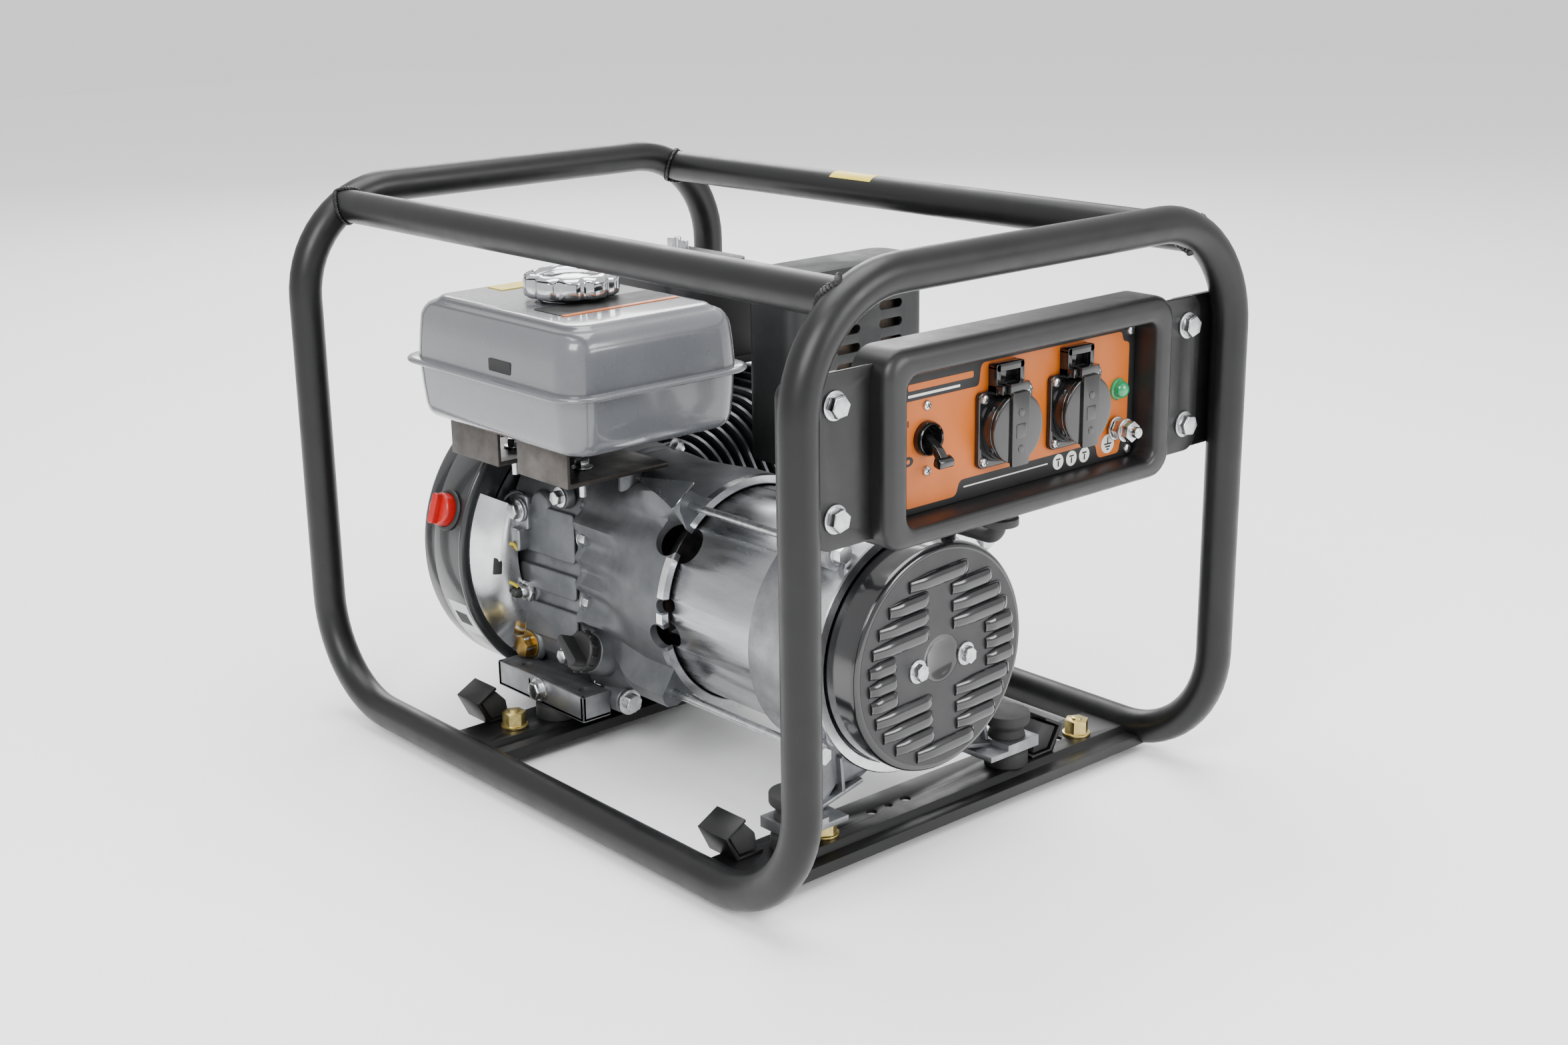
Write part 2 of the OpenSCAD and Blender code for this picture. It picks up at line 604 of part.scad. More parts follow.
module flywheel() color("#6d6f72") difference() {
    union() {
        rod_x(-190, -172, axis_y, axis_z, 92);
        for (k = [0:17]) translate([-204, axis_y, axis_z]) rotate([k * 20, 0, 0]) translate([0, -1.2, 52])
            cube([14.1, 2.4, 40]);
        rod_x(-196, -170, axis_y, axis_z, 24);
    }
    rod_x(-197, -169, axis_y, axis_z, 11.02);
}

module blower_housing() color("#3c3e40") {
    difference() {
        rod_x(fan_back, fan_front, axis_y, axis_z, blower_r);
        rod_x(fan_back - 1, fan_front - 1.6, axis_y, axis_z, blower_r - 1.6);
        rod_x(fan_front - 3, fan_front + 1, axis_y, axis_z, 97);
        translate([-188, axis_y + 50, axis_z + 40]) cube([30, 80, 90]);
        switch_frame() translate([0, 0, -8]) cylinder(r = 8.2, h = 20);
        translate([-188, axis_y + 96, axis_z - 24]) cube([22, 20, 48]);
    }
}

module recoil_housing() color("#38393b") difference() {
    translate([fan_back, axis_y, axis_z]) rotate([0, -90, 0]) rotate_extrude() polygon([
        [0, fan_back - recoil_back], [88, fan_back - recoil_back], [104, fan_back - recoil_back - 5],
        [114, fan_back - recoil_back - 16], [blower_r, fan_back - recoil_back - 24], [blower_r, 0],
        [blower_r - 2, 0], [blower_r - 2, fan_back - recoil_back - 25],
        [112, fan_back - recoil_back - 17.5], [103, fan_back - recoil_back - 7],
        [87, fan_back - recoil_back - 2], [11, fan_back - recoil_back - 2], [11, 4], [0, 4]
    ]);
    for (r = [44, 60, 76], k = [0:11]) translate([recoil_back - 1, axis_y, axis_z])
        rotate([k * 30 + (r == 60 ? 15 : 0), 0, 0]) translate([0, 0, r]) rotate([0, 90, 0])
            cylinder(r = 5, h = 4, $fn = 24);
    translate([handle_x, handle_y, axis_z + 60]) cylinder(r = 5, h = 80);
}

module recoil_pulley() color("#a33a2c") difference() {
    union() {
        rod_x(-239, -236, axis_y, axis_z, pulley_r + 6);
        rod_x(-236.1, -227.9, axis_y, axis_z, pulley_r - 3);
        rod_x(-228, -225, axis_y, axis_z, pulley_r + 6);
    }
    rod_x(-240, -224, axis_y, axis_z, 11.05);
}

module recoil_handle() color("#151515") translate([handle_x, handle_y, handle_z]) {
    translate([0, -36, 16]) rotate([-90, 0, 0]) cylinder(r = 11, h = 72);
    rotate_extrude() polygon([[3, 0], [9, 0], [9, 6], [7, 16], [3, 16]]);
}

module recoil_rope() color("#d8d2c0") translate([handle_x, handle_y, axis_z + 4])
    cylinder(r = 2.5, h = handle_z - axis_z + 0.8, $fn = 16);

// crank web and counterweight, drawn with the pin towards +Y
module crank_web(x) translate([x, axis_y, axis_z]) rotate([cyl_tilt, 0, 0]) along_x() linear_extrude(12)
    polygon([[-28, -16], [0, -24], [16, -18], [28, -14], [28, 14], [16, 18], [0, 24], [-28, 16]]);

module crankshaft() color("#8f9295") {
    rod_x(-206, -169.9, axis_y, axis_z, 11);
    rod_x(-169.98, -127, axis_y, axis_z, 12.5);
    for (x = [-132, -104]) crank_web(x);
    translate([-122, axis_y, axis_z]) rotate([cyl_tilt, 0, 0]) translate([0, 15, 0]) rotate([0, 90, 0])
        cylinder(r = 11, h = 20);
    rod_x(-96, -12, axis_y, axis_z, 12.5);
    rod_x(-74, -64, axis_y, axis_z, 14);
    rod_x(-14, 15.5, axis_y, axis_z, 11.8);
    rod_x(15, 43, axis_y, axis_z, 7.98);
}

module camshaft() color("#7d8083") {
    rod_x(-160.5, -50.2, cam_y, cam_z, 7);
    rod_x(-74, -64, cam_y, cam_z, 28);
    for (x = [-146, -90]) rod_x(x, x + 9, cam_y, cam_z - 2, 11);
}

module piston() color("#b8babd") {
    difference() {
        on_cylinder(88, bore_r - 0.04, 42);
        on_cylinder(87, 28, 34);
    }
    cylinder_frame(106) translate([-27.9, 0, 0]) rotate([0, 90, 0]) cylinder(r = 8, h = 55.8);
}

module connecting_rod() color("#a5a8ab") difference() {
    union() {
        cylinder_frame(106) translate([-8, 0, 0]) rotate([0, 90, 0]) cylinder(r = 12.5, h = 16);
        cylinder_frame(46) translate([-6, 0, -8]) cube([12, 52, 16]);
    }
    cylinder_frame(106) translate([-10, 0, 0]) rotate([0, 90, 0]) cylinder(r = 8.02, h = 20);
}

module carburettor() color("#9a9c9f") difference() {
    union() {
        translate([-196, 92, 232]) cube([28, 30, 34]);
        translate([-186, 107, 212]) cylinder(r = 16, h = 20.1);
        translate([-196, 96, 240]) rotate([0, -90, 0]) cylinder(r = 11, h = 6);
        cylinder_frame(deck_d + 20) translate([-53, 0, 12]) rotate([0, -90, 0]) cylinder(r = 13, h = 6);
    }
    translate([-182, 107, 233]) cylinder(r = 9, h = 40);
    translate([-204, 100, choke_z]) rotate([0, 90, 0]) cylinder(r = 1.55, h = 12);
}

module choke_lever() color("#202020") translate([-205.6, 100, choke_z]) rotate([0, 90, 0]) {
    translate([0, 0, 0.5]) cylinder(r = 1.5, h = 12.1);
    translate([0, 0, 0]) linear_extrude(3) polygon([[-4, -4], [4, -4], [4, 20], [-2, 30], [-6, 28], [-4, 6]]);
}

module air_cleaner() color("#232325") difference() {
    union() {
        translate([-161, 69, 268]) plate(110, 98, 16, 6);
        translate([-161, 69, 274.2]) plate(106, 94, 14, 72);
        translate([-161, 69, 346]) plate(90, 78, 12, 5);
        translate([-182, 107, 266.2]) cylinder(r = 12, h = 2);
    }
    translate([-161, 69, 274]) plate(100, 88, 12, 68);
    translate([-182, 107, 260]) cylinder(r = 9, h = 20);
    translate([-161, 69, 300]) cylinder(r = 3.2, h = 60);
}

module air_filter() color("#7d6a44") difference() {
    translate([-161, 69, 274.2]) plate(84, 72, 14, 60);
    translate([-161, 69, 280]) plate(56, 44, 8, 60);
    translate([-182, 107, 270]) cylinder(r = 9, h = 8);
}

module muffler() color("#4a4541") {
    translate([-25, 117, 212]) plate(38, 116, 12, 132);
    intersection() {
        cylinder_frame(deck_d + 20) translate([47, 0, 12]) rotate([0, 90, 0]) cylinder(r = 10, h = 30);
        translate([-100, 0, 0]) cube([57, 300, 400]);
    }
    translate([-25, 174, 300]) rotate([-90, 0, 0]) cylinder(r = 8, h = 12);
}

// one louvre slot with round ends, cut through the +X face of the guard
module guard_slot() rotate([0, 90, 0]) {
    cylinder(r = 3.5, h = 8, $fn = 24);
    translate([-3.5, 0, 0]) cube([7, 18, 8]);
    translate([0, 18, 0]) cylinder(r = 3.5, h = 8, $fn = 24);
}

module muffler_guard() color("#2a2b2d") difference() {
    translate([-25, 117, guard_low]) plate(54, 144, 12, guard_high - guard_low);
    translate([-25, 117, guard_low - 1]) plate(51, 141, 10.5, guard_high - guard_low - 0.5);
    for (k = [0:8], y = [95.5, 141]) translate([-4, y, 221 + 14.5 * k]) guard_slot();
    translate([-60, 60, 190]) cube([20, 114, 120]);
    translate([-25, 180, 300]) rotate([-90, 0, 0]) cylinder(r = 9, h = 12);
}

module switch_frame() translate([-192, axis_y, axis_z]) rotate([-18, 0, 0]) translate([0, -blower_r, 0])
    rotate([90, 0, 0]) children();

module engine_switch() color("#b3201c") switch_frame() {
    translate([0, 0, 0.4]) cylinder(r = 12, h = 10);
    translate([0, 0, -7]) cylinder(r = 8, h = 7.5);
    translate([-3.5, -12, 10.3]) cube([7, 24, 5]);
}

// float switch nut with its pigtail clipped along the case
module oil_sensor() color("#c7a92c") {
    translate([-148, -90, 109]) rotate([90, 0, 0]) cylinder(r = 4.9, h = 8);
    translate([-148, -98.1, 109]) rotate([90, 0, 0]) cylinder(r = 9.5, h = 7, $fn = 6);
    translate([-148, -105, 109]) rotate([90, 0, 0]) cylinder(r = 4, h = 6);
    translate([-148, -107.5, 113]) cylinder(r = 1.6, h = 32);
    translate([-164, -112, 145]) cube([20, 9, 14]);
}

module engine_fasteners() color("#c6c8ca") {
    translate([-150, -101.2, 63]) rotate([90, 0, 0]) cylinder(r = 9, h = 9, $fn = 6);
    translate([-106, -123, 43]) rotate([90, 0, 0]) cylinder(r = 7, h = 6, $fn = 6);
    translate([-39.9, -88, 42]) rotate([0, 90, 0]) {
        cylinder(r = 10, h = 1.6);
        translate([0, 0, 1.5]) cylinder(r = 7, h = 6, $fn = 6);
    }
    for (x = bracket_x) translate([x, -118, 0]) {
        translate([0, 0, boss_top - 7.5]) cylinder(r = 7, h = 7.5, $fn = 6);
        translate([0, 0, boss_top - 18]) cylinder(r = 3, h = 10.6);
    }
    translate([-161, 69, 351.1]) {
        cylinder(r = 7, h = 5);
        translate([-12, -1.5, 2]) cube([24, 3, 12]);
        translate([0, 0, -20]) cylinder(r = 3, h = 36);
    }
    for (s = [-1, 1]) translate([cover_front, axis_y + 23 * s, axis_z - 3]) rotate([0, 90, 0]) {
        cylinder(r = 7.5, h = 1.5);
        translate([0, 0, 1.4]) cylinder(r = 5.5, h = 5, $fn = 6);
        translate([0, 0, -39.5]) cylinder(r = 2.8, h = 39.6);
    }
}

/* fuel tank */

module tank_layer(z, w, h, r) translate([tank_x, tank_y, z]) linear_extrude(0.5)
    polygon(round_rect(w, h, r, 7));

module tank_body(g) {
    hull() {
        tank_layer(tank_low + g, tank_len - 38 - 2 * g, tank_wid - 38 - 2 * g, 12);
        tank_layer(tank_low + 8, tank_len - 24 - 2 * g, tank_wid - 24 - 2 * g, 18 - g);
        tank_layer(seam_z - 1, tank_len - 16 - 2 * g, tank_wid - 16 - 2 * g, 20 - g);
    }
    hull() {
        tank_layer(seam_z - 1, tank_len - 16 - 2 * g, tank_wid - 16 - 2 * g, 20 - g);
        tank_layer(tank_high - 11, tank_len - 22 - 2 * g, tank_wid - 22 - 2 * g, 20 - g);
        tank_layer(tank_high - 0.5 - g, tank_len - 44 - 2 * g, tank_wid - 44 - 2 * g, 14);
    }
}

module fuel_tank() color("#85878b") difference() {
    union() {
        tank_body(0);
        translate([tank_x, tank_y, seam_z - 1.5]) linear_extrude(3)
            polygon(round_rect(tank_len, tank_wid, 24, 7));
        translate([cap_at[0], cap_at[1], tank_high - 4]) cylinder(r = neck_r + 3, h = 7);
    }
    tank_body(1.8);
    translate([cap_at[0], cap_at[1], tank_high - 6]) cylinder(r = neck_r, h = 30);
}

module tank_brackets() color("#8e8980") for (k = [0, 1]) translate([bracket_x[k], -154, 0]) {
    w = bracket_w[k];
    translate([-w / 2, 0, tank_low - 3.2]) cube([w, 34, 3]);
    translate([-w / 2, 0, tank_low - 28]) cube([w, 3, 25]);
    translate([-w / 2, 0, boss_top + 0.1]) cube([w, 92, 3.5]);
}

module fuel_cap() color("#c9cacc") translate([cap_at[0], cap_at[1], tank_high + 6.2]) difference() {
    union() {
        cylinder(r = cap_r - 2, h = 14);
        for (k = [0:8]) rotate([0, 0, 40 * k]) translate([cap_r - 9, 0, 3]) cylinder(r = 9, h = 9);
    }
    translate([0, 0, -1]) cylinder(r = neck_r + 3.6, h = 3);
}

module cap_gasket() color("#262626") translate([cap_at[0], cap_at[1], tank_high + 3.2]) difference() {
    cylinder(r = neck_r + 2.8, h = 2.9);
    translate([0, 0, -1]) cylinder(r = neck_r - 6, h = 6);
}

module oil_filler_cap() color("#131313") oil_neck() {
    translate([0, 0, 3.1]) cylinder(r = 15.5, h = 8);
    rotate([0, 0, 60]) translate([-3, -15, 11]) cube([6, 30, 12]);
    translate([0, 0, -12]) cylinder(r = 9.5, h = 15.2);
    translate([0, 0, -34]) cylinder(r = 3, h = 22.1);
}

module oil_cap_seal() color("#303030") oil_neck() difference() {
    translate([0, 0, 0.1]) cylinder(r = 14.5, h = 2.9);
    translate([0, 0, -1]) cylinder(r = 9.8, h = 6);
}

frame_hoop_front();
frame_hoop_rear();
top_rails();
cross_channels();
panel_tabs();
rubber_feet();
foot_nuts();
snubber_brackets();
vibration_mounts();
panel_bezel();
face_plate();
panel_fasteners();
socket_bodies();
socket_lid_left();
socket_lid_right();
breaker_body();
breaker_lever();
pilot_lamp();
ground_terminal();
panel_lead();
stator_shell();
stator_core();
stator_winding();
rotor();
rotor_bearing();
rear_bracket();
through_bolts();
end_cover();
brush_gear();
crankcase();
crankcase_cover();
cylinder_head();
valve_cover();
spark_plug();
ignition_coil();
flywheel();
blower_housing();
recoil_housing();
recoil_pulley();
recoil_handle();
recoil_rope();
crankshaft();
camshaft();
piston();
connecting_rod();
carburettor();
choke_lever();
air_cleaner();
air_filter();
muffler();
muffler_guard();
fuel_tank();
tank_brackets();
fuel_cap();
cap_gasket();
oil_filler_cap();
oil_cap_seal();
engine_fasteners();
oil_sensor();
engine_switch();
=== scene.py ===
import bpy
import bmesh
import math
import random
from mathutils import Matrix, Vector


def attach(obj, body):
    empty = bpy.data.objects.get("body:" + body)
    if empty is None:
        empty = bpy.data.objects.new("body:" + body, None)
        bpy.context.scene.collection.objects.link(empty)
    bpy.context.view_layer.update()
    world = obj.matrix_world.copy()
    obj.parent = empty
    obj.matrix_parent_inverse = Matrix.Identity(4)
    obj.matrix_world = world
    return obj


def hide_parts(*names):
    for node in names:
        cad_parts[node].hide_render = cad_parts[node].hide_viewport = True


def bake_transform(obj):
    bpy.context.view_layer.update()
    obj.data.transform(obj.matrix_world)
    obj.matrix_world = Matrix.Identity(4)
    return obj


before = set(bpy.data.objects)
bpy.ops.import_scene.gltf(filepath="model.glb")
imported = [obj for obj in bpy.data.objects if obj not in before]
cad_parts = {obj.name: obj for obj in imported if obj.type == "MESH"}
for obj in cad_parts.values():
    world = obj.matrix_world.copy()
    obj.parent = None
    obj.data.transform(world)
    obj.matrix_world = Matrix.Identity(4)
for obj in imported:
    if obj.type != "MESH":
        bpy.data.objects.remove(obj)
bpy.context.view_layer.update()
mm = 0.001
shaftY, shaftZ = -30, 137  # the line every turning part sits on
print("frame loaded")

# --- camera ---
viewpoint = {"azimuth": 49.6, "elevation": 16.82, "target": (0, 0, 174), "distance": 1587.6,
             "roll": -1.08, "lens": 48.06, "shiftX": 0.0235, "shiftY": 0.0009}


def makeCamera(view):
    az, el = math.radians(view["azimuth"]), math.radians(view["elevation"])
    away = Vector((math.cos(el) * math.sin(az), -math.cos(el) * math.cos(az), math.sin(el)))
    spot = Vector(view["target"]) + away * view["distance"]
    right = (-away).cross(Vector((0, 0, 1))).normalized()
    up = right.cross(-away)
    roll = math.radians(view["roll"])
    right, up = (right * math.cos(roll) + up * math.sin(roll), up * math.cos(roll) - right * math.sin(roll))
    data = bpy.data.cameras.new("studioCamera")
    data.lens = view["lens"]
    data.sensor_width = 36
    data.shift_x, data.shift_y = view["shiftX"], view["shiftY"]
    data.clip_end = 50
    camera = bpy.data.objects.new("studioCamera", data)
    bpy.context.scene.collection.objects.link(camera)
    camera.matrix_world = Matrix.Translation(spot * mm) @ Matrix((right, up, away)).transposed().to_4x4()
    bpy.context.scene.camera = camera


makeCamera(viewpoint)


# --- finishes ---
def hexColour(code):
    values = [int(code[i:i + 2], 16) / 255 for i in (1, 3, 5)]
    return tuple(v / 12.92 if v <= 0.04045 else ((v + 0.055) / 1.055) ** 2.4 for v in values) + (1,)


def addNode(tree, kind, settings=None, sockets=None):
    node = tree.nodes.new(kind)
    for key, value in (settings or {}).items():
        setattr(node, key, value)
    for key, value in (sockets or {}).items():
        if isinstance(value, bpy.types.NodeSocket):
            tree.links.new(value, node.inputs[key])
        else:
            node.inputs[key].default_value = value
    return node


def makeFinish(name, recipe):
    material = bpy.data.materials.new(name)
    material.use_nodes = True
    tree = material.node_tree
    shader = tree.nodes["Principled BSDF"]
    place = addNode(tree, "ShaderNodeTexCoord").outputs["Object"]
    drawn = addNode(tree, "ShaderNodeMapping",
                    sockets={"Vector": place, "Scale": recipe.get("stretch", (1, 1, 1))})
    cloud = addNode(tree, "ShaderNodeTexNoise", sockets={
        "Vector": drawn.outputs["Vector"], "Scale": 1000 / recipe["patchMm"], "Detail": 5.0, "Roughness": 0.6})
    ramp = addNode(tree, "ShaderNodeMapRange", sockets={
        "Value": cloud.outputs["Fac"], "From Min": 0.32, "From Max": 0.68})
    mix = addNode(tree, "ShaderNodeMix", {"data_type": "RGBA"}, {
        "Factor": ramp.outputs["Result"], 6: hexColour(recipe["colour"]), 7: hexColour(recipe["second"])})
    tree.links.new(mix.outputs[2], shader.inputs["Base Color"])
    smear = addNode(tree, "ShaderNodeTexNoise", sockets={
        "Vector": drawn.outputs["Vector"], "Scale": 1000 / recipe.get("smearMm", 18), "Detail": 4.0})
    low, high = recipe["rough"]
    gloss = addNode(tree, "ShaderNodeMapRange", sockets={
        "Value": smear.outputs["Fac"], "From Min": 0.3, "From Max": 0.7, "To Min": low, "To Max": high})
    tree.links.new(gloss.outputs["Result"], shader.inputs["Roughness"])
    normal = None
    for grainMm, depthMm, strength in recipe["grain"]:
        grain = addNode(tree, "ShaderNodeTexNoise", sockets={
            "Vector": drawn.outputs["Vector"], "Scale": 1000 / grainMm, "Detail": 3.0})
        bump = addNode(tree, "ShaderNodeBump", sockets={
            "Height": grain.outputs["Fac"], "Distance": depthMm * mm, "Strength": strength})
        if normal:
            tree.links.new(normal, bump.inputs["Normal"])
        normal = bump.outputs["Normal"]
    if normal:
        tree.links.new(normal, shader.inputs["Normal"])
    shader.inputs["Metallic"].default_value = recipe.get("metallic", 0)
    shader.inputs["Coat Weight"].default_value = recipe.get("coat", 0)
    shader.inputs["Coat Roughness"].default_value = recipe.get("coatRough", 0.08)
    if "ior" in recipe:
        shader.inputs["IOR"].default_value = recipe["ior"]
    if "glow" in recipe:
        shader.inputs["Emission Color"].default_value = hexColour(recipe["colour"])
        shader.inputs["Emission Strength"].default_value = recipe["glow"]
    material["slot"] = recipe["slot"]
    return material


finishes = {
    # polyester powder coat on steel tube: an even satin skin with a faint orange peel
    "blackPowderCoat": dict(slot="frame_paint", colour="#09090A", second="#0D0D0E", patchMm=60,
                            rough=(0.34, 0.44),
                            grain=[(1.4, 0.05, 0.35)], ior=1.42),
    # gloss enamel on pressed steel: sharp reflections over a flat grey
    "greyTankEnamel": dict(slot="tank_paint", colour="#55575B", second="#5B5D61", patchMm=120,
                           rough=(0.24, 0.32),
                           grain=[(2.5, 0.04, 0.2)], coat=0.8, ior=1.5),
    # sprayed satin enamel on the fan housing
    "greyShroudEnamel": dict(slot="shroud_paint", colour="#1C1D1F", second="#232426", patchMm=50,
                             rough=(0.25, 0.36),
                             grain=[(1.5, 0.05, 0.3)], coat=0.4, ior=1.5),
    # dip-coated gloss black on pressed steel: near-mirror rim, streaked highlights
    "glossBlackSteel": dict(slot="cover_black", colour="#101012", second="#17171A", patchMm=40,
                            rough=(0.12, 0.22),
                            grain=[(3, 0.04, 0.15)], coat=0.6, ior=1.5),
    # matte stove enamel: grey bloom on black where it faces the light
    "stoveBlackEnamel": dict(slot="cover_black", colour="#1E1E20", second="#252527", patchMm=30,
                             rough=(0.38, 0.5),
                             grain=[(0.9, 0.05, 0.35)], ior=1.5),
    # high temperature paint around the exhaust: dusty and slightly rough
    "heatproofPaint": dict(slot="cover_black", colour="#191A1B", second="#222324", patchMm=25,
                           rough=(0.45, 0.6),
                           grain=[(0.8, 0.08, 0.5)], ior=1.45),
    # moulded polypropylene of the panel surround: fine spark texture, soft sheen
    "mouldedBlackPlastic": dict(slot="panel_black", colour="#0E0E0F", second="#131314", patchMm=45,
                                rough=(0.34, 0.46),
                                grain=[(0.6, 0.03, 0.4), (6, 0.05, 0.15)], ior=1.49),
    # polished ABS of the outlets: deep black with crisp highlights
    "glossBlackAbs": dict(slot="socket_black", colour="#0D0D0E", second="#151516", patchMm=25, rough=(0.1, 0.2),
                          grain=[(4, 0.03, 0.15)], coat=0.3, ior=1.54),
    # screen-printed orange on a steel plate: flat saturated ink
    "orangePanelInk": dict(slot="panel_orange", colour="#B35A0C", second="#AA540A", patchMm=35,
                           rough=(0.36, 0.48),
                           grain=[(0.5, 0.01, 0.3)], ior=1.45),
    "blackPanelInk": dict(slot="panel_black", colour="#0E0E0F", second="#141414", patchMm=35, rough=(0.5, 0.62),
                          grain=[(0.5, 0.01, 0.3)], ior=1.45),
    "whitePanelInk": dict(slot="panel_black", colour="#DEDEDA", second="#D2D2CE", patchMm=20, rough=(0.4, 0.5),
                          grain=[(0.5, 0.01, 0.3)], ior=1.45),
    # rolled aluminium tube, drawn along the shell: soft streaks under a bright sheen
    "brushedAluminium": dict(slot="bright_aluminium", colour="#A6A8AB", second="#8F9194", patchMm=16,
                             metallic=1,
                             rough=(0.2, 0.36), stretch=(0.18, 1, 1), smearMm=9, grain=[(0.8, 0.02, 0.4)]),
    # die-cast aluminium as it leaves the mould: dull grain with darker flow patches
    "dieCastAluminium": dict(slot="cast_aluminium", colour="#606265", second="#4D4F52", patchMm=24,
                             metallic=0.6,
                             rough=(0.36, 0.52), grain=[(1.1, 0.06, 0.4), (9, 0.12, 0.2)]),
    # paler casting of the rear bracket, blasted clean
    "blastedAluminium": dict(slot="cast_aluminium", colour="#8E9093", second="#77797C", patchMm=18,
                             metallic=0.9,
                             rough=(0.34, 0.5), grain=[(0.8, 0.07, 0.5), (9, 0.15, 0.25)]),
    # faces cut on a lathe: bright with close turning marks
    "machinedAluminium": dict(slot="cast_aluminium", colour="#E2E3E5", second="#C9CACD", patchMm=9, metallic=1,
                              rough=(0.16, 0.3), grain=[(0.6, 0.02, 0.4)]),
    # dark oily casting of the cooling fins
    "finCasting": dict(slot="cast_aluminium", colour="#4A4C4F", second="#353639", patchMm=15, metallic=0.8,
                       rough=(0.45, 0.62), grain=[(1.0, 0.1, 0.5)]),
    # zinc plated hardware: cool bright grey, slightly cloudy
    "zincPlate": dict(slot="zinc", colour="#D3D5D6", second="#B4B6B8", patchMm=5, metallic=1, rough=(0.2, 0.34),
                      grain=[(0.7, 0.03, 0.3)]),
    # yellow chromate over zinc
    "yellowZinc": dict(slot="zinc", colour="#D9C98A", second="#B9A35E", patchMm=4, metallic=1,
                       rough=(0.24, 0.38),
                       grain=[(0.7, 0.03, 0.3)]),
    "drainBrass": dict(slot="brass", colour="#A88A4E", second="#80632F", patchMm=5, metallic=1,
                       rough=(0.3, 0.45),
                       grain=[(0.8, 0.04, 0.3)]),
    # chrome on the tank cap: mirror with the slightest haze
    "capChrome": dict(slot="chrome", colour="#CFD0D2", second="#BFC1C4", patchMm=20, metallic=1,
                      rough=(0.06, 0.14),
                      grain=[(6, 0.03, 0.15)]),
    # ground and machined steel inside
    "machinedSteel": dict(slot="machined_steel", colour="#9A9C9F", second="#808286", patchMm=10, metallic=1,
                          rough=(0.25, 0.4), grain=[(0.8, 0.03, 0.4)]),
    "enamelledCopper": dict(slot="copper", colour="#9A4E22", second="#7C3A16", patchMm=6, metallic=0.7,
                            rough=(0.25, 0.4), stretch=(1, 0.3, 0.3), grain=[(1.2, 0.3, 0.7)]),
    # vulcanised rubber: dead matte with a little bloom
    "blackRubber": dict(slot="rubber", colour="#171717", second="#222222", patchMm=14, rough=(0.62, 0.8),
                        grain=[(0.7, 0.05, 0.5)], ior=1.5),
    "redPlastic": dict(slot="red_plastic", colour="#B3120F", second="#A00E0C", patchMm=10, rough=(0.28, 0.4),
                       grain=[(0.8, 0.02, 0.3)], ior=1.49),
    "greenLens": dict(slot="lamp_green", colour="#0E8A55", second="#0A7548", patchMm=6, rough=(0.06, 0.14),
                      grain=[(3, 0.05, 0.3)], coat=0.6, ior=1.49, glow=0.05),
    "yellowWire": dict(slot="coil_black", colour="#B5A11B", second="#9C8A14", patchMm=5, rough=(0.35, 0.5),
                       grain=[(0.8, 0.02, 0.3)], ior=1.5),
    "greenConnector": dict(slot="coil_black", colour="#5E8E2C", second="#4B7722", patchMm=5, rough=(0.3, 0.45),
                           grain=[(0.8, 0.02, 0.3)], ior=1.49),
    "matteBlackPlastic": dict(slot="coil_black", colour="#161617", second="#1E1E1F", patchMm=14,
                              rough=(0.45, 0.6),
                              grain=[(0.7, 0.04, 0.4)], ior=1.49),
    "yellowLabel": dict(slot="frame_paint", colour="#D8C23A", second="#CDB630", patchMm=12, rough=(0.35, 0.5),
                        grain=[(0.6, 0.01, 0.2)], ior=1.45),
    "paleLabel": dict(slot="frame_paint", colour="#D3D5D7", second="#C6C8CA", patchMm=12, rough=(0.35, 0.5),
                      grain=[(0.6, 0.01, 0.2)], ior=1.45),
    # nylon starter rope: twisted strands read as a fine slant
    "starterRope": dict(slot="rope", colour="#D6D1C0", second="#B4AE9A", patchMm=3, rough=(0.7, 0.85),
                        grain=[(1.5, 0.3, 0.8)], ior=1.5),
    "filterFoam": dict(slot="filter_foam", colour="#6E6148", second="#584D38", patchMm=5, rough=(0.8, 0.95),
                       grain=[(2, 0.6, 0.9)], ior=1.45),
    # exhaust steel browned by heat
    "heatStainedSteel": dict(slot="exhaust_steel", colour="#5B5148", second="#413A36", patchMm=25, metallic=0.9,
                             rough=(0.4, 0.6), grain=[(1.0, 0.08, 0.5)]),
    # dark passivated zinc on the tank brackets
    "passivatedSteel": dict(slot="plated_bracket", colour="#575350", second="#45423F", patchMm=18, metallic=0.9,
                            rough=(0.35, 0.5), grain=[(1.2, 0.05, 0.4)]),
    # galvanised side plate by the fan: bright with a cloudy spangle
    "galvanisedSheet": dict(slot="zinc", colour="#DADBDD", second="#C4C6C8", patchMm=22, metallic=1,
                            rough=(0.16, 0.3),
                            grain=[(8, 0.04, 0.2)]),
    "brushPlastic": dict(slot="brush_plastic", colour="#3A2C22", second="#2E2219", patchMm=10,
                         rough=(0.5, 0.65),
                         grain=[(0.7, 0.03, 0.4)], ior=1.5),
    "glazedCeramic": dict(slot="ceramic", colour="#E2DFD6", second="#D8D4C9", patchMm=12, rough=(0.1, 0.2),
                          grain=[(2, 0.02, 0.2)], coat=0.5, ior=1.5),
}
skin = {name: makeFinish(name, recipe) for name, recipe in finishes.items()}
print("finishes made:", len(skin))


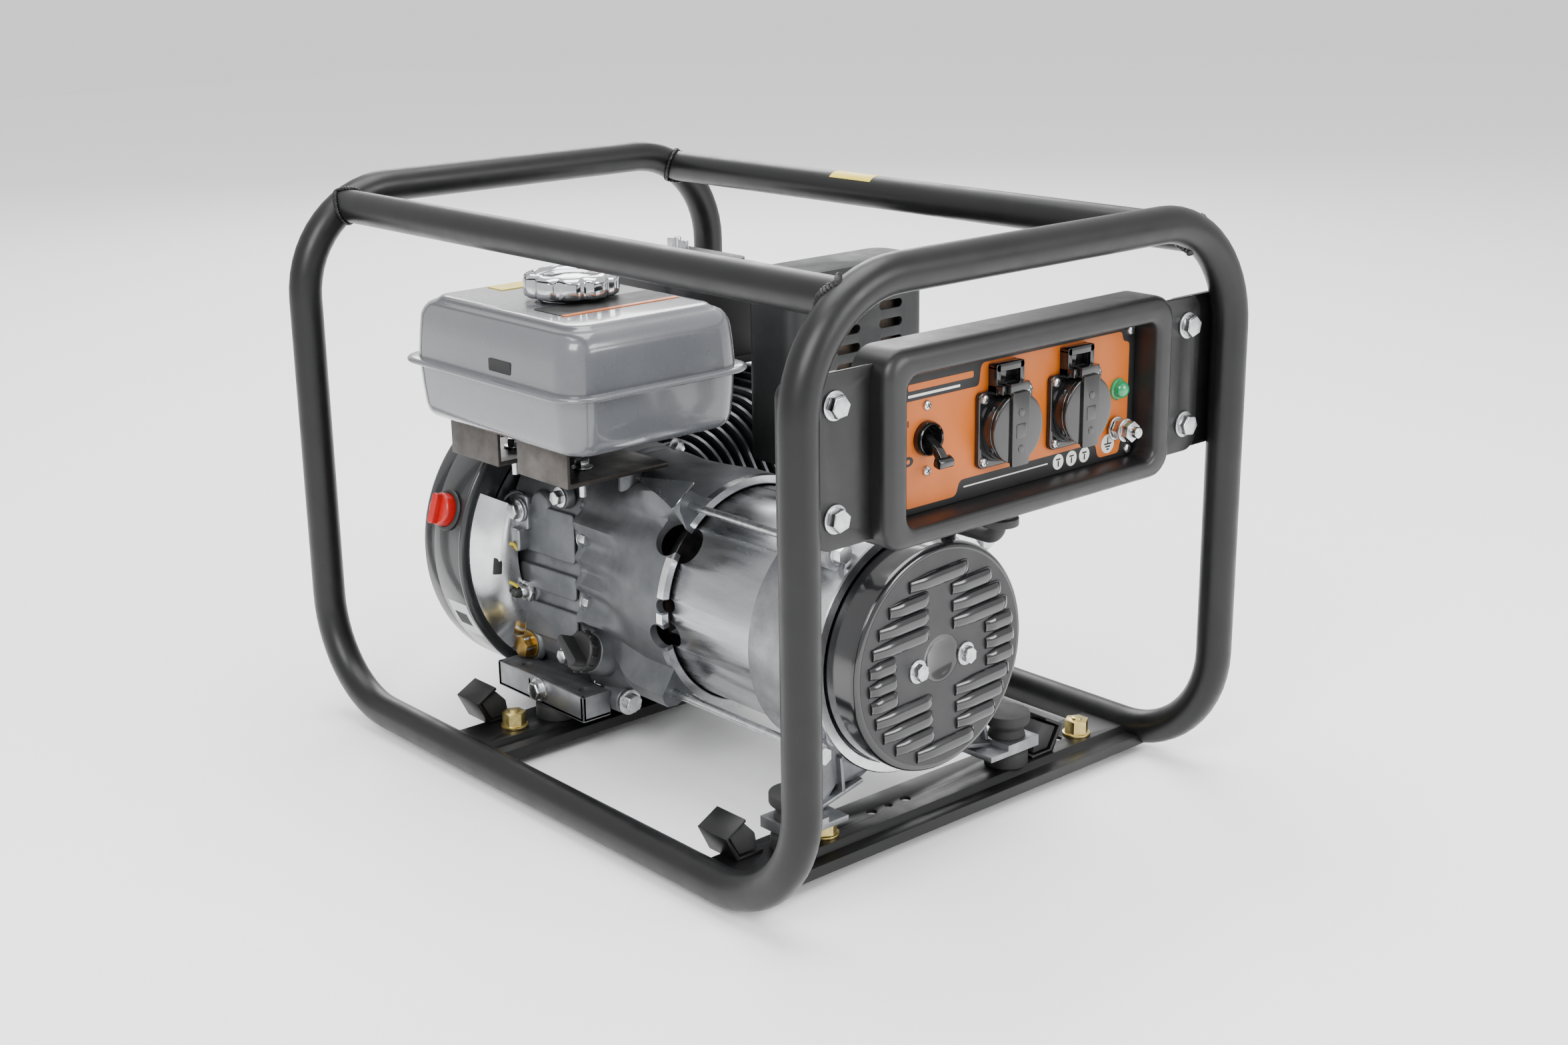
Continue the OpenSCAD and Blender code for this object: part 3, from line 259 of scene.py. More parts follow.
# --- shapes, all in millimetres until a piece is built ---
def facing(side, at):
    across, upward = {"+x": ((0, 1, 0), (0, 0, 1)), "-x": ((0, -1, 0), (0, 0, 1)),
                      "+y": ((-1, 0, 0), (0, 0, 1)),
                      "-y": ((1, 0, 0), (0, 0, 1)), "+z": ((1, 0, 0), (0, 1, 0)),
                      "-z": ((-1, 0, 0), (0, 1, 0))}[side]
    u, v = Vector(across), Vector(upward)
    return Matrix.Translation(Vector(at)) @ Matrix((u, v, u.cross(v))).transposed().to_4x4()


def aimed(direction, at, upward=(0, 0, 1)):
    w = Vector(direction).normalized()
    u = Vector(upward).cross(w)
    u = u.normalized() if u.length > 1e-4 else Vector((1, 0, 0))
    return Matrix.Translation(Vector(at)) @ Matrix((u, w.cross(u), w)).transposed().to_4x4()


def roundRect(width, height, radius, steps=6, centre=(0, 0)):
    points = []
    for k, (sx, sy) in enumerate([(1, 1), (-1, 1), (-1, -1), (1, -1)]):
        for i in range(steps + 1):
            a = math.radians(90 * k + 90 * i / steps)
            points.append((centre[0] + sx * (width / 2 - radius) + radius * math.cos(a),
                           centre[1] + sy * (height / 2 - radius) + radius * math.sin(a)))
    return points


def circle(radius, steps=32, centre=(0, 0), start=0):
    return [(centre[0] + radius * math.cos(start + 2 * math.pi * i / steps),
             centre[1] + radius * math.sin(start + 2 * math.pi * i / steps)) for i in range(steps)]


def softCorners(points, radii, steps=4):
    out = []
    count = len(points)
    for i, corner in enumerate(points):
        a, b, c = Vector(points[i - 1]), Vector(corner), Vector(points[(i + 1) % count])
        radius = radii if isinstance(radii, (int, float)) else radii[i]
        cut = min(radius, (a - b).length * 0.45, (c - b).length * 0.45)
        p, q = b + (a - b).normalized() * cut, b + (c - b).normalized() * cut
        for k in range(steps + 1):
            t = k / steps
            out.append(tuple((1 - t) ** 2 * p + 2 * t * (1 - t) * b + t * t * q))
    return out


def prism(outline, matrix, depth, start=0):
    n = len(outline)
    points = [matrix @ Vector((x, y, z)) for z in (start, start + depth) for x, y in outline]
    faces = [tuple(reversed(range(n))), tuple(range(n, 2 * n))]
    faces += [(i, (i + 1) % n, n + (i + 1) % n, n + i) for i in range(n)]
    return points, faces


def block(low, high):
    outline = [(low[0], low[1]), (high[0], low[1]), (high[0], high[1]), (low[0], high[1])]
    return prism(outline, Matrix.Identity(4), high[2] - low[2], low[2])


def revolve(profile, matrix, steps=72, closed=False):
    points, faces = [], []
    for r, h in profile:
        points += [matrix @ Vector((r * math.cos(2 * math.pi * j / steps),
                                    r * math.sin(2 * math.pi * j / steps), h))
                   for j in range(steps)]
    rows = len(profile)
    for i in range(rows if closed else rows - 1):
        for j in range(steps):
            k, m = (j + 1) % steps, (i + 1) % rows
            faces.append((i * steps + j, i * steps + k, m * steps + k, m * steps + j))
    return points, faces


def loft(rings, caps=True):
    n = len(rings[0])
    points = [Vector(p) for ring in rings for p in ring]
    faces = []
    for i in range(len(rings) - 1):
        faces += [(i * n + j, i * n + (j + 1) % n, (i + 1) * n + (j + 1) % n, (i + 1) * n + j)
                  for j in range(n)]
    if caps:
        faces += [tuple(reversed(range(n))), tuple(range((len(rings) - 1) * n, len(rings) * n))]
    return points, faces


def sweep(path, radius, steps=24):
    path = [Vector(p) for p in path]
    rings, side = [], None
    for i, p in enumerate(path):
        ahead = (path[min(i + 1, len(path) - 1)] - path[max(i - 1, 0)]).normalized()
        if side is None:
            side = ahead.cross(Vector((0, 0, 1)) if abs(ahead.z) < 0.9 else Vector((1, 0, 0))).normalized()
        side = (side - ahead * side.dot(ahead)).normalized()
        other = ahead.cross(side)
        rings.append([p + (side * math.cos(2 * math.pi * j / steps) + other * math.sin(2 * math.pi * j / steps))
                      * radius for j in range(steps)])
    return loft(rings)


def smoothPath(points, steps=8):
    points = [Vector(p) for p in points]
    padded = [points[0] * 2 - points[1]] + points + [points[-1] * 2 - points[-2]]
    out = []
    for i in range(1, len(padded) - 2):
        a, b, c, d = padded[i - 1:i + 3]
        for k in range(steps):
            t = k / steps
            out.append(0.5 * ((2 * b) + (c - a) * t + (2 * a - 5 * b + 4 * c - d) * t * t
                              + (3 * b - a - 3 * c + d) * t ** 3))
    return out + [points[-1]]


def arcPath(centre, radius, start, end, u, v, steps=14):
    centre, u, v = Vector(centre), Vector(u), Vector(v)
    return [centre + (u * math.cos(math.radians(start + (end - start) * i / steps))
                      + v * math.sin(math.radians(start + (end - start) * i / steps))) * radius
            for i in range(steps + 1)]


def meshFrom(name, parts):
    whole = bmesh.new()
    for points, faces in parts:
        part = bmesh.new()
        corners = [part.verts.new(p * mm) for p in map(Vector, points)]
        for face in faces:
            part.faces.new([corners[i] for i in face])
        bmesh.ops.remove_doubles(part, verts=part.verts, dist=1e-6)
        bmesh.ops.recalc_face_normals(part, faces=part.faces)
        scratch = bpy.data.meshes.new("scratch")
        part.to_mesh(scratch)
        whole.from_mesh(scratch)
        bpy.data.meshes.remove(scratch)
        part.free()
    mesh = bpy.data.meshes.new(name)
    whole.to_mesh(mesh)
    whole.free()
    return mesh


def linked(name, mesh):
    thing = bpy.data.objects.new(name, mesh)
    bpy.context.scene.collection.objects.link(thing)
    return thing


def settle(thing, material, body, stands, angle=32):
    depsgraph = bpy.context.evaluated_depsgraph_get()
    mesh = bpy.data.meshes.new_from_object(thing.evaluated_get(depsgraph))
    thing.modifiers.clear()
    old = thing.data
    thing.data = mesh
    mesh.name = thing.name
    bpy.data.meshes.remove(old)
    mesh.materials.clear()
    mesh.materials.append(material)
    mesh.polygons.foreach_set("use_smooth", [True] * len(mesh.polygons))
    if angle:
        mesh.set_sharp_from_angle(angle=math.radians(angle))
    if body:
        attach(thing, body)
        if stands:
            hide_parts(*stands)
    return thing


def rounded(thing, width, segments=2, angle=32):
    if width:
        bevel = thing.modifiers.new("edge", "BEVEL")
        bevel.width, bevel.segments = width * mm, segments
        bevel.limit_method, bevel.angle_limit = "ANGLE", math.radians(angle)
        bevel.harden_normals = False


def cut(thing, parts):
    for part in parts:
        tool = linked("cutter", meshFrom("cutter", [part]))
        boolean = thing.modifiers.new("cut", "BOOLEAN")
        boolean.operation, boolean.solver, boolean.object = "DIFFERENCE", "EXACT", tool
        depsgraph = bpy.context.evaluated_depsgraph_get()
        mesh = bpy.data.meshes.new_from_object(thing.evaluated_get(depsgraph))
        thing.modifiers.clear()
        thing.data = mesh
        bpy.data.objects.remove(tool)


def build(name, parts, finish, body="frame", stands=(), bevel=0, segments=2, holes=(), smooth=0, angle=32):
    thing = linked(name, meshFrom(name, parts))
    if holes:
        cut(thing, holes)
    rounded(thing, bevel, segments)
    if smooth:
        sub = thing.modifiers.new("soft", "SUBSURF")
        sub.levels = sub.render_levels = smooth
    return settle(thing, skin[finish], body, stands, angle)


def refine(name, node, finish, body="frame", bevel=0.5, segments=2, holes=()):
    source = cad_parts[node]
    shape = bmesh.new()
    shape.from_mesh(source.data)
    bmesh.ops.remove_doubles(shape, verts=shape.verts, dist=2e-6)
    bmesh.ops.dissolve_limit(shape, angle_limit=math.radians(0.6), verts=shape.verts, edges=shape.edges)
    mesh = bpy.data.meshes.new(name)
    shape.to_mesh(mesh)
    shape.free()
    thing = linked(name, mesh)
    if holes:
        cut(thing, holes)
    rounded(thing, bevel, segments, 30)
    return settle(thing, skin[finish], body, [node], 30)


def repeatTree(source, material):
    tree = bpy.data.node_groups.new("repeat_" + source.name, "GeometryNodeTree")
    for label, way, kind in [("Spots", "INPUT", "NodeSocketGeometry"), ("Size", "INPUT", "NodeSocketFloat"),
                             ("Turn jitter", "INPUT", "NodeSocketFloat"), ("Seed", "INPUT", "NodeSocketInt"),
                             ("Pieces", "OUTPUT", "NodeSocketGeometry")]:
        tree.interface.new_socket(label, in_out=way, socket_type=kind)
    given = addNode(tree, "NodeGroupInput").outputs
    spin = addNode(tree, "GeometryNodeInputNamedAttribute", {"data_type": "FLOAT_VECTOR"}, {"Name": "spin"})
    stretch = addNode(tree, "GeometryNodeInputNamedAttribute", {"data_type": "FLOAT_VECTOR"},
                      {"Name": "stretch"})
    turned = addNode(tree, "FunctionNodeEulerToRotation", sockets={"Euler": spin.outputs["Attribute"]})
    chance = addNode(tree, "FunctionNodeRandomValue", {"data_type": "FLOAT"},
                     {2: -1.0, 3: 1.0, "Seed": given["Seed"]})
    amount = addNode(tree, "ShaderNodeMath", {"operation": "MULTIPLY"},
                     {0: chance.outputs[1], 1: given["Turn jitter"]})
    axis = addNode(tree, "ShaderNodeCombineXYZ", sockets={"Z": amount.outputs[0]})
    twist = addNode(tree, "FunctionNodeEulerToRotation", sockets={"Euler": axis.outputs[0]})
    final = addNode(tree, "FunctionNodeRotateRotation", {"rotation_space": "LOCAL"},
                    {"Rotation": turned.outputs[0], "Rotate By": twist.outputs[0]})
    scale = addNode(tree, "ShaderNodeVectorMath", {"operation": "SCALE"},
                    {"Vector": stretch.outputs["Attribute"], "Scale": given["Size"]})
    shape = addNode(tree, "GeometryNodeObjectInfo", sockets={"Object": source})
    copies = addNode(tree, "GeometryNodeInstanceOnPoints", sockets={
        "Points": given["Spots"], "Instance": shape.outputs["Geometry"], "Rotation": final.outputs[0],
        "Scale": scale.outputs[0]})
    solid = addNode(tree, "GeometryNodeRealizeInstances", sockets={"Geometry": copies.outputs["Instances"]})
    painted = addNode(tree, "GeometryNodeSetMaterial",
                      sockets={"Geometry": solid.outputs[0], "Material": material})
    addNode(tree, "NodeGroupOutput", sockets={"Pieces": painted.outputs[0]})
    return tree


def repeat(name, shape, spots, finish, body="frame", stands=(), size=1.0, jitter=0.0, seed=1, bevel=0,
           angle=32):
    source = linked(name + "One", meshFrom(name + "One", shape))
    rounded(source, bevel)
    settle(source, skin[finish], None, None, angle)
    mesh = bpy.data.meshes.new(name)
    mesh.from_pydata([Vector(m.translation) * mm for m, _ in spots], [], [])
    spin = mesh.attributes.new("spin", "FLOAT_VECTOR", "POINT")
    stretch = mesh.attributes.new("stretch", "FLOAT_VECTOR", "POINT")
    for i, (m, s) in enumerate(spots):
        spin.data[i].vector = m.to_euler()
        stretch.data[i].vector = s
    thing = linked(name, mesh)
    tree = repeatTree(source, skin[finish])
    modifier = thing.modifiers.new("repeat", "NODES")
    modifier.node_group = tree
    names = {item.name: item.identifier for item in tree.interface.items_tree if item.in_out == "INPUT"}
    for label, value in (("Size", size), ("Turn jitter", jitter), ("Seed", seed)):
        modifier[names[label]] = value
    settle(thing, skin[finish], body, stands, angle)
    bpy.data.objects.remove(source)
    return thing


def hexHead(radius, height, washer=0, washerHeight=0):
    parts = []
    base = 0
    if washer:
        parts.append(revolve([(0, 0), (washer, 0), (washer, washerHeight), (0, washerHeight)],
                             Matrix.Identity(4), 28))
        base = washerHeight
    profile = [(0.94, 0), (1, 0.06), (1, 0.84), (0.9, 1)]
    rings = [[(radius * r * math.cos(math.pi / 3 * k), radius * r * math.sin(math.pi / 3 * k),
               base + height * h)
              for k in range(6)] for r, h in profile]
    parts.append(loft(rings))
    return parts


unit = (1, 1, 1)
print("tools ready")

# --- tubular frame ---
tube = {"radius": 12.7, "endX": 284.7, "sideY": 202.5, "lowZ": 16.7, "topZ": 416.7, "bend": 80,
        "railY": 163, "railZ": 405.75, "sides": 36}


def hoopPath(sign):
    b, ex, sy = tube["bend"], tube["endX"], tube["sideY"]
    lowZ, topZ = tube["lowZ"], tube["topZ"]
    half = [(0, -sy, lowZ)] + arcPath((ex - b, -sy, lowZ + b), b, -90, 0, (1, 0, 0), (0, 0, 1))
    half += arcPath((ex, b - sy, topZ - b), b, 180, 90, (0, 1, 0), (0, 0, 1))
    half = [Vector(p) for p in half]
    mirrored = [Vector((p.x, -p.y, p.z)) for p in reversed(half)]
    return [Vector((p.x * sign, p.y, p.z)) for p in half + mirrored]


build("frameHoopFront", [sweep(hoopPath(1), tube["radius"], tube["sides"])], "blackPowderCoat",
      stands=["frame_hoop_front"])
build("frameHoopRear", [sweep(hoopPath(-1), tube["radius"], tube["sides"])], "blackPowderCoat",
      stands=["frame_hoop_rear"])
build("topRails", [sweep([(-tube["endX"], s * tube["railY"], tube["railZ"]),
                          (0, s * tube["railY"], tube["railZ"]),
                          (tube["endX"], s * tube["railY"], tube["railZ"])], tube["radius"], tube["sides"])
                   for s in (-1, 1)], "blackPowderCoat", stands=["top_rails"])

weld = {"count": 44, "jitter": 0.5}
weldSpots = []
for sx in (-1, 1):
    for sy in (-1, 1):
        tangent = math.atan2(tube["railZ"] - (tube["topZ"] - tube["bend"]),
                             tube["railY"] - (tube["sideY"] - tube["bend"]))
        for i in range(weld["count"]):
            t = 2 * math.pi * i / weld["count"]
            out = math.cos(t - tangent)
            x = tube["endX"] - tube["radius"] * math.sqrt(max(0, 1 - out * out)) - 0.4
            spot = (sx * x, sy * (tube["railY"] + (tube["radius"] + 0.2) * math.cos(t)),
                    tube["railZ"] + (tube["radius"] + 0.2) * math.sin(t))
            weldSpots.append((aimed((sx, sy * math.cos(t), math.sin(t)), spot), unit))
repeat("weldBeads", [revolve([(0, -1.5), (2.2, -1.0), (2.7, 0), (2.2, 1.0), (0, 1.5)], Matrix.Identity(4),
                             8)], weldSpots,
       "blackPowderCoat", jitter=weld["jitter"], seed=4)
build("railLabel", [loft([[(x, tube["railY"] + (tube["radius"] + 0.2) * math.cos(a),
                            tube["railZ"] + (tube["radius"] + 0.2) * math.sin(a))
                           for a in [math.radians(40 + 8 * k) for k in range(13)]]
                          + [(x, tube["railY"] + (tube["radius"] - 0.3) * math.cos(a),
                              tube["railZ"] + (tube["radius"] - 0.3) * math.sin(a))
                             for a in [math.radians(136 - 8 * k) for k in range(13)]] for x in (-72, -26)])],
      "yellowLabel")

refine("crossChannels", "cross_channels", "blackPowderCoat", bevel=0.7)
refine("panelTabs", "panel_tabs", "blackPowderCoat", bevel=0.8)
refine("rubberFeet", "rubber_feet", "blackRubber", bevel=1.2)
refine("footNuts", "foot_nuts", "yellowZinc", bevel=0.5)
refine("snubberBrackets", "snubber_brackets", "blackPowderCoat", bevel=0.6)
refine("vibrationMounts", "vibration_mounts", "blackRubber", bevel=0.8)

snub = {"places": [(178, -167, 20, 1), (196, 103, 20, -1), (-135, -152, 20, 1)], "length": 25}
snubParts = []
for x, y, z, s in snub["places"]:
    m = Matrix.Translation((x, y, z)) @ Matrix(((1, 0, 0, 0), (0, s, 0, 0), (0, 0, 1, 0), (0, 0, 0, 1)))
    wedge = [(-7, 3), (9, 3), (7, 15), (-2, 24.5), (-15.5, 18)]
    snubParts.append(loft([[m @ Vector((a, y0, z0)) for y0, z0 in wedge] for a in (-snub["length"] / 2,
                                                                                   snub["length"] / 2)]))
build("snubberBlocks", snubParts, "blackRubber", bevel=1.2)
print("frame done")

# --- outlet panel ---
panel = {"x": 291, "back": 257, "halfWidth": 136, "height": 126, "centre": 307, "corner": 17, "edge": 8,
         "openWidth": 233, "openHeight": 92.5, "openCentre": 305.25, "flange": 272.5}


def panelRing(x, width, height, corner, centre):
    return [(x, y, z + centre) for y, z in roundRect(width, height, corner, 7)]


outer, inner = [], []
for k in range(6):
    a = math.radians(90 * k / 5)
    inset = panel["edge"] * (1 - math.cos(a))
    outer.append(panelRing(panel["x"] - panel["edge"] + panel["edge"] * math.sin(a),
                           2 * (panel["halfWidth"] - inset),
                           panel["height"] - 2 * inset, panel["corner"] - inset * 0.6, panel["centre"]))
for k in range(5):
    a = math.radians(90 * k / 4)
    grow = 4 * (1 - math.sin(a))
    inner.append(panelRing(panel["x"] - 4 + 4 * math.cos(a), panel["openWidth"] + 2 * grow + 3,
                           panel["openHeight"] + 2 * grow + 3, 9 + grow, panel["openCentre"]))
shell = [panelRing(panel["back"], 2 * panel["halfWidth"] - 3, panel["height"] - 3, 15, panel["centre"]),
         panelRing(panel["back"] + 1.5, 2 * panel["halfWidth"], panel["height"], 17, panel["centre"])]
shell += outer + inner
shell += [panelRing(panel["x"] - 8, panel["openWidth"] + 1, panel["openHeight"] + 1, 8, panel["openCentre"]),
          panelRing(269.9, panel["openWidth"], panel["openHeight"], 6.5, panel["openCentre"]),
          panelRing(269.9, panel["openWidth"] - 14, panel["openHeight"] - 14, 4, panel["openCentre"]),
          panelRing(panel["back"] + 3, panel["openWidth"] - 14, panel["openHeight"] - 14, 4,
                    panel["openCentre"])]
wing = prism(roundRect(362, 110, 12, 6, (0, 307)), facing("+x", (panel["flange"], 0, 0)), 3.5)
wingCut = prism(roundRect(264, 121, 15, 6, (0, 307)), facing("+x", (panel["flange"] - 2, 0, 0)), 9)
build("panelSurround", [loft(shell)], "mouldedBlackPlastic", stands=["panel_bezel"], angle=40)
build("panelWings", [wing], "mouldedBlackPlastic", bevel=1.1, segments=3,
      holes=[wingCut] + [revolve([(0, -3), (4.3, -3), (4.3, 8), (0, 8)], facing("+x", (272, s * 166, z)), 24)
                         for s in (-1, 1) for z in (272, 342)])
ribs = [block((254.5, y - 1, 262), (257.2, y + 1, 349)) for y in range(-105, 106, 30)]
ribs.append(block((254.5, -116, 304.5), (257.2, 116, 306.5)))
build("panelBackRibs", ribs, "mouldedBlackPlastic", bevel=0.5)

plateHoles = [revolve([(0, -4), (20.7, -4), (20.7, 6), (0, 6)], facing("+x", (270, y, 303)), 48)
              for y in (-15.5, 52.5)]
plateHoles.append(revolve([(0, -4), (10.1, -4), (10.1, 6), (0, 6)], facing("+x", (270, -84, 306.5)), 32))
build("facePlate", [prism(roundRect(232.4, 91.9, 5.7, 5, (0, 305.25)), facing("+x", (270, 0, 0)), 1.5)],
      "blackPanelInk", stands=["face_plate"], bevel=0.3, holes=plateHoles)
inkX = 271.5
orangeOutline = softCorners([(-110, 332), (-37, 332), (-35, 346.5), (102, 346.5), (103.5, 339.5), (110, 338.5),
                             (110, 272), (103.5, 271), (102, 262.5), (80.5, 262.5), (77.5, 273.5), (-54, 273.5),
                             (-57, 263.5), (-102, 263.5), (-104, 271), (-110, 272)],
                            [5, 3, 4, 3, 5, 3, 3, 5, 3, 4, 4, 4, 4, 3, 5, 3])
inkHoles = plateHoles
build("orangeField", [prism(orangeOutline, facing("+x", (inkX, 0, 0)), 0.18)], "orangePanelInk", holes=inkHoles)
build("panelStripes", [prism(roundRect(58, 4.2, 1.2, 4, (-71, 340.5)), facing("+x", (inkX, 0, 0)), 0.18)],
      "orangePanelInk")
whiteInk = [prism(roundRect(80, 0.8, 0.3, 3, (-10, 268.2)), facing("+x", (inkX, 0, 0)), 0.15),
            prism(roundRect(46, 1.6, 0.6, 3, (-77, 335)), facing("+x", (inkX, 0, 0)), 0.15)]
whiteInk += [prism(circle(5.2, 32, (y, 267.5)), facing("+x", (inkX, 0, 0)), 0.15) for y in (40.5, 53.8, 66.8)]
whiteInk.append(prism(circle(6.6, 32, (90.5, 270.8)), facing("+x", (inkX + 0.18, 0, 0)), 0.15))
build("whiteMarks", whiteInk, "whitePanelInk")
blackInk = []
for y in (40.5, 53.8, 66.8):
    blackInk.append(prism(roundRect(4.6, 1.1, 0.4, 2, (y, 269.2)), facing("+x", (inkX + 0.15, 0, 0)), 0.15))
    blackInk.append(prism(roundRect(1.2, 4.2, 0.4, 2, (y, 266.2)), facing("+x", (inkX + 0.15, 0, 0)), 0.15))
for width, height, z in ((1.0, 4.4, 273.2), (7.4, 1.0, 270.8), (5.0, 1.0, 268.9), (2.6, 1.0, 267)):
    blackInk.append(prism(roundRect(width, height, 0.3, 2, (90.5, z)), facing("+x", (inkX + 0.33, 0, 0)), 0.15))
blackInk.append(prism([(y * 1.45 - 100, z + 294) for y, z in circle(3.2, 32)],
                      facing("+x", (inkX + 0.18, 0, 0)), 0.15))
blackInk.append(prism(roundRect(0.9, 4, 0.3, 2, (-100, 318)), facing("+x", (inkX + 0.18, 0, 0)), 0.15))
for y in (-15.5, 52.5):
    wave = [(y - 4 + 8 * i / 16, 341.2 + 1.1 * math.sin(2 * math.pi * i / 16)) for i in range(17)]
    outline = [(a, b - 0.45) for a, b in wave] + [(a, b + 0.45) for a, b in reversed(wave)]
    blackInk.append(prism(outline, facing("+x", (inkX + 0.18, 0, 0)), 0.15))
build("blackMarks", blackInk, "blackPanelInk")
build("offMark", [prism(circle(1.5, 24, (-100, 294)), facing("+x", (inkX + 0.33, 0, 0)), 0.15)],
      "orangePanelInk")

for label, y in (("left", -15.5), ("right", 52.5)):
    at = facing("+x", (0, y, 303))
    cup = [(19, -14), (20.4, -14), (20.4, -2), (22.5, -2), (22.5, 11.2), (21.6, 11.9), (19.6, 11.9), (19, 11.4)]
    parts = [revolve([(r, 271.5 + h) for r, h in cup], at, 64, closed=True),
             revolve([(0, 258), (19.2, 258), (19.2, 261.5), (0, 261.5)], at, 48),
             prism(roundRect(18, 9, 2, 4, (0, 24.5)), at, 5.2, 271.5)]
    parts += [prism(roundRect(4, 6, 1, 3, (s * 11, 26)), at, 12.4, 271.6) for s in (-1, 1)]
    parts += [prism(roundRect(4, 20, 1, 3, (s * 11, 32)), at, 7.5, 271.5) for s in (-1, 1)]
    parts += [prism(roundRect(26, 5, 2, 4, (0, 39.5)), at, 7.5, 271.5),
              prism(roundRect(20, 18, 1, 3, (0, 32)), at, 1.3, 271.5)]
    flangeHoles = [revolve([(0, 268), (22, 268), (22, 279), (0, 279)], at, 48)]
    build(label + "SocketBody", parts, "glossBlackAbs", stands=["socket_bodies"] if label == "left" else (),
          bevel=0.5)
    build(label + "SocketFlange", [prism(roundRect(50, 50, 4, 5), at, 4, 271.5)], "glossBlackAbs", bevel=0.9,
          segments=3, holes=flangeHoles)
    lid = [revolve([(0, 284), (22.4, 284), (23, 284.5), (23, 286), (22.5, 286.5), (21, 286.8), (0, 286.9)],
                   at, 64),
           prism(roundRect(16, 48, 1.6, 4, (0, 0)), at, 2.4, 286.4),
           revolve([(0, -8), (2.6, -8), (2.6, 8), (0, 8)], facing("+y", (280, y, 330)), 24),
           revolve([(0, -12.6), (1.45, -12.6), (1.45, 12.6), (0, 12.6)], facing("+y", (280, y, 330)), 16),
           prism([(-8, 23), (8, 23), (8, 29.8), (-8, 29.8)], at, 7.2, 279.6)]
    lid.append(prism(roundRect(9, 9.5, 1, 3, (0, -1)), at, 0.5, 288.7))
    lid.append(prism(circle(2.6, 20, (0, -13)), at, 0.5, 288.7))
    lid.append(prism(circle(2.6, 20, (0, 11)), at, 0.5, 288.7))
    build(label + "SocketLid", lid, "glossBlackAbs", body="lid_" + label, stands=["socket_lid_" + label],
          bevel=0.55, segments=3)
screwSpots = [(facing("+x", (275.5, y + sy * 20.5, 303 + sz * 20.5)), unit) for y in (-15.5, 52.5)
              for sy in (-1, 1) for sz in (-1, 1)]
screwSpots += [(facing("+x", (271.6, sy * 110.5, z)), (1.1, 1.1, 1)) for sy in (-1, 1) for z in (264, 346.5)]
screwSpots += [(facing("+x", (271.7, -84, 306.5 + s * 21)), unit) for s in (-1, 1)]
panHead = [revolve([(0, -0.4), (3.3, -0.4), (3.3, 0.5), (2.9, 1.5), (1.9, 2.2), (0, 2.4)], Matrix.Identity(4),
                   20)]
repeat("panHeadScrews", panHead, screwSpots, "zincPlate", jitter=3.0, seed=7)
# the screw heads have no cut recess: two matte black bars on each head are painted shade where the cross recess
# would be dark
recessShadeSpots = [(m @ Matrix.Translation((0, 0, 2.1)) @ Matrix.Rotation(q, 4, "Z"), unit)
             for m, _ in screwSpots for q in (0.5, 0.5 + math.pi / 2)]
repeat("screwCrosses", [block((-1.9, -0.35, 0), (1.9, 0.35, 0.32))], recessShadeSpots, "matteBlackPlastic")

flangeBolts = [(facing("+x", (276, s * 166, z)), unit) for s in (-1, 1) for z in (272, 342)]
repeat("flangeBolts", hexHead(7.6, 6, 9.2, 1.4), flangeBolts, "zincPlate", stands=["panel_fasteners"],
       jitter=3, seed=3, bevel=0.5)
repeat("flangeNuts", hexHead(7.6, 6.4, 9, 1.4),
       [(facing("-x", (268.5, s * 166, z)), unit) for s in (-1, 1) for z in (272, 342)],
       "zincPlate", jitter=3, seed=5, bevel=0.5)

at = facing("+x", (0, -84, 306.5))
build("breakerBoss", [revolve([(9, 262.5), (9, 276.5), (9.8, 277.4), (10.6, 276.6), (11.3, 274),
                               (11.3, 271.4), (9.8, 271.4), (9.8, 262.5)],
                              at, 48, closed=True), prism(circle(9.2, 32), at, 3, 262.4)],
      "glossBlackAbs", stands=["breaker_body"])
lever = [(-2.4, 2.6), (-2.4, -2.6), (1, -3.8), (9, -8), (13.5, -14.4), (17.6, -15.2), (18.6, -11.8),
         (13.6, -5), (7, -0.4), (2.4, 2.8)]
build("breakerLever", [prism(softCorners(lever, 2), facing("-y", (271, -84 + 3, 306.5)), 6),
                       prism(softCorners([(12.2, -15), (18.8, -16.5), (20, -11), (14, -8)], 2.4),
                             facing("-y", (271, -84 + 6.2, 306.5)), 12.4)],
      "glossBlackAbs", body="breaker_toggle", stands=["breaker_lever"], bevel=0.7, segments=3)

at = facing("+x", (0, 99, 307.5))
build("lampBezel", [revolve([(0, 262), (5, 262), (5, 271.4), (7.4, 271.5), (7.4, 273), (6.6, 273.9),
                             (0, 273.9)], at, 40)], "greenLens", stands=["pilot_lamp"])
build("lampLens", [revolve([(6, 273.6)] + [(6 * math.cos(math.radians(a)),
                                            275 + 5 * math.sin(math.radians(a))) for a in range(0, 91, 10)],
                                            at, 40)],
      "greenLens", angle=60)
at = facing("+x", (0, 97, 280.8))
wingNut = [revolve([(4.1, 273), (8.2, 273), (8.2, 274.4), (4.1, 274.4)], at, 32, closed=True),
           revolve([(0, 262), (3.9, 262), (3.9, 292.6), (3.3, 293.4), (0, 293.4)], at, 24)]
wingNut += [prism(circle(7.4, 6), at, 5.6, 275), prism(circle(7.4, 6, start=0.4), at, 6, 282.2),
            revolve([(3.9, 280.7), (8, 280.7), (8, 282.1), (3.9, 282.1)], at, 32, closed=True)]
build("earthTerminal", wingNut, "zincPlate", stands=["ground_terminal"], bevel=0.5)

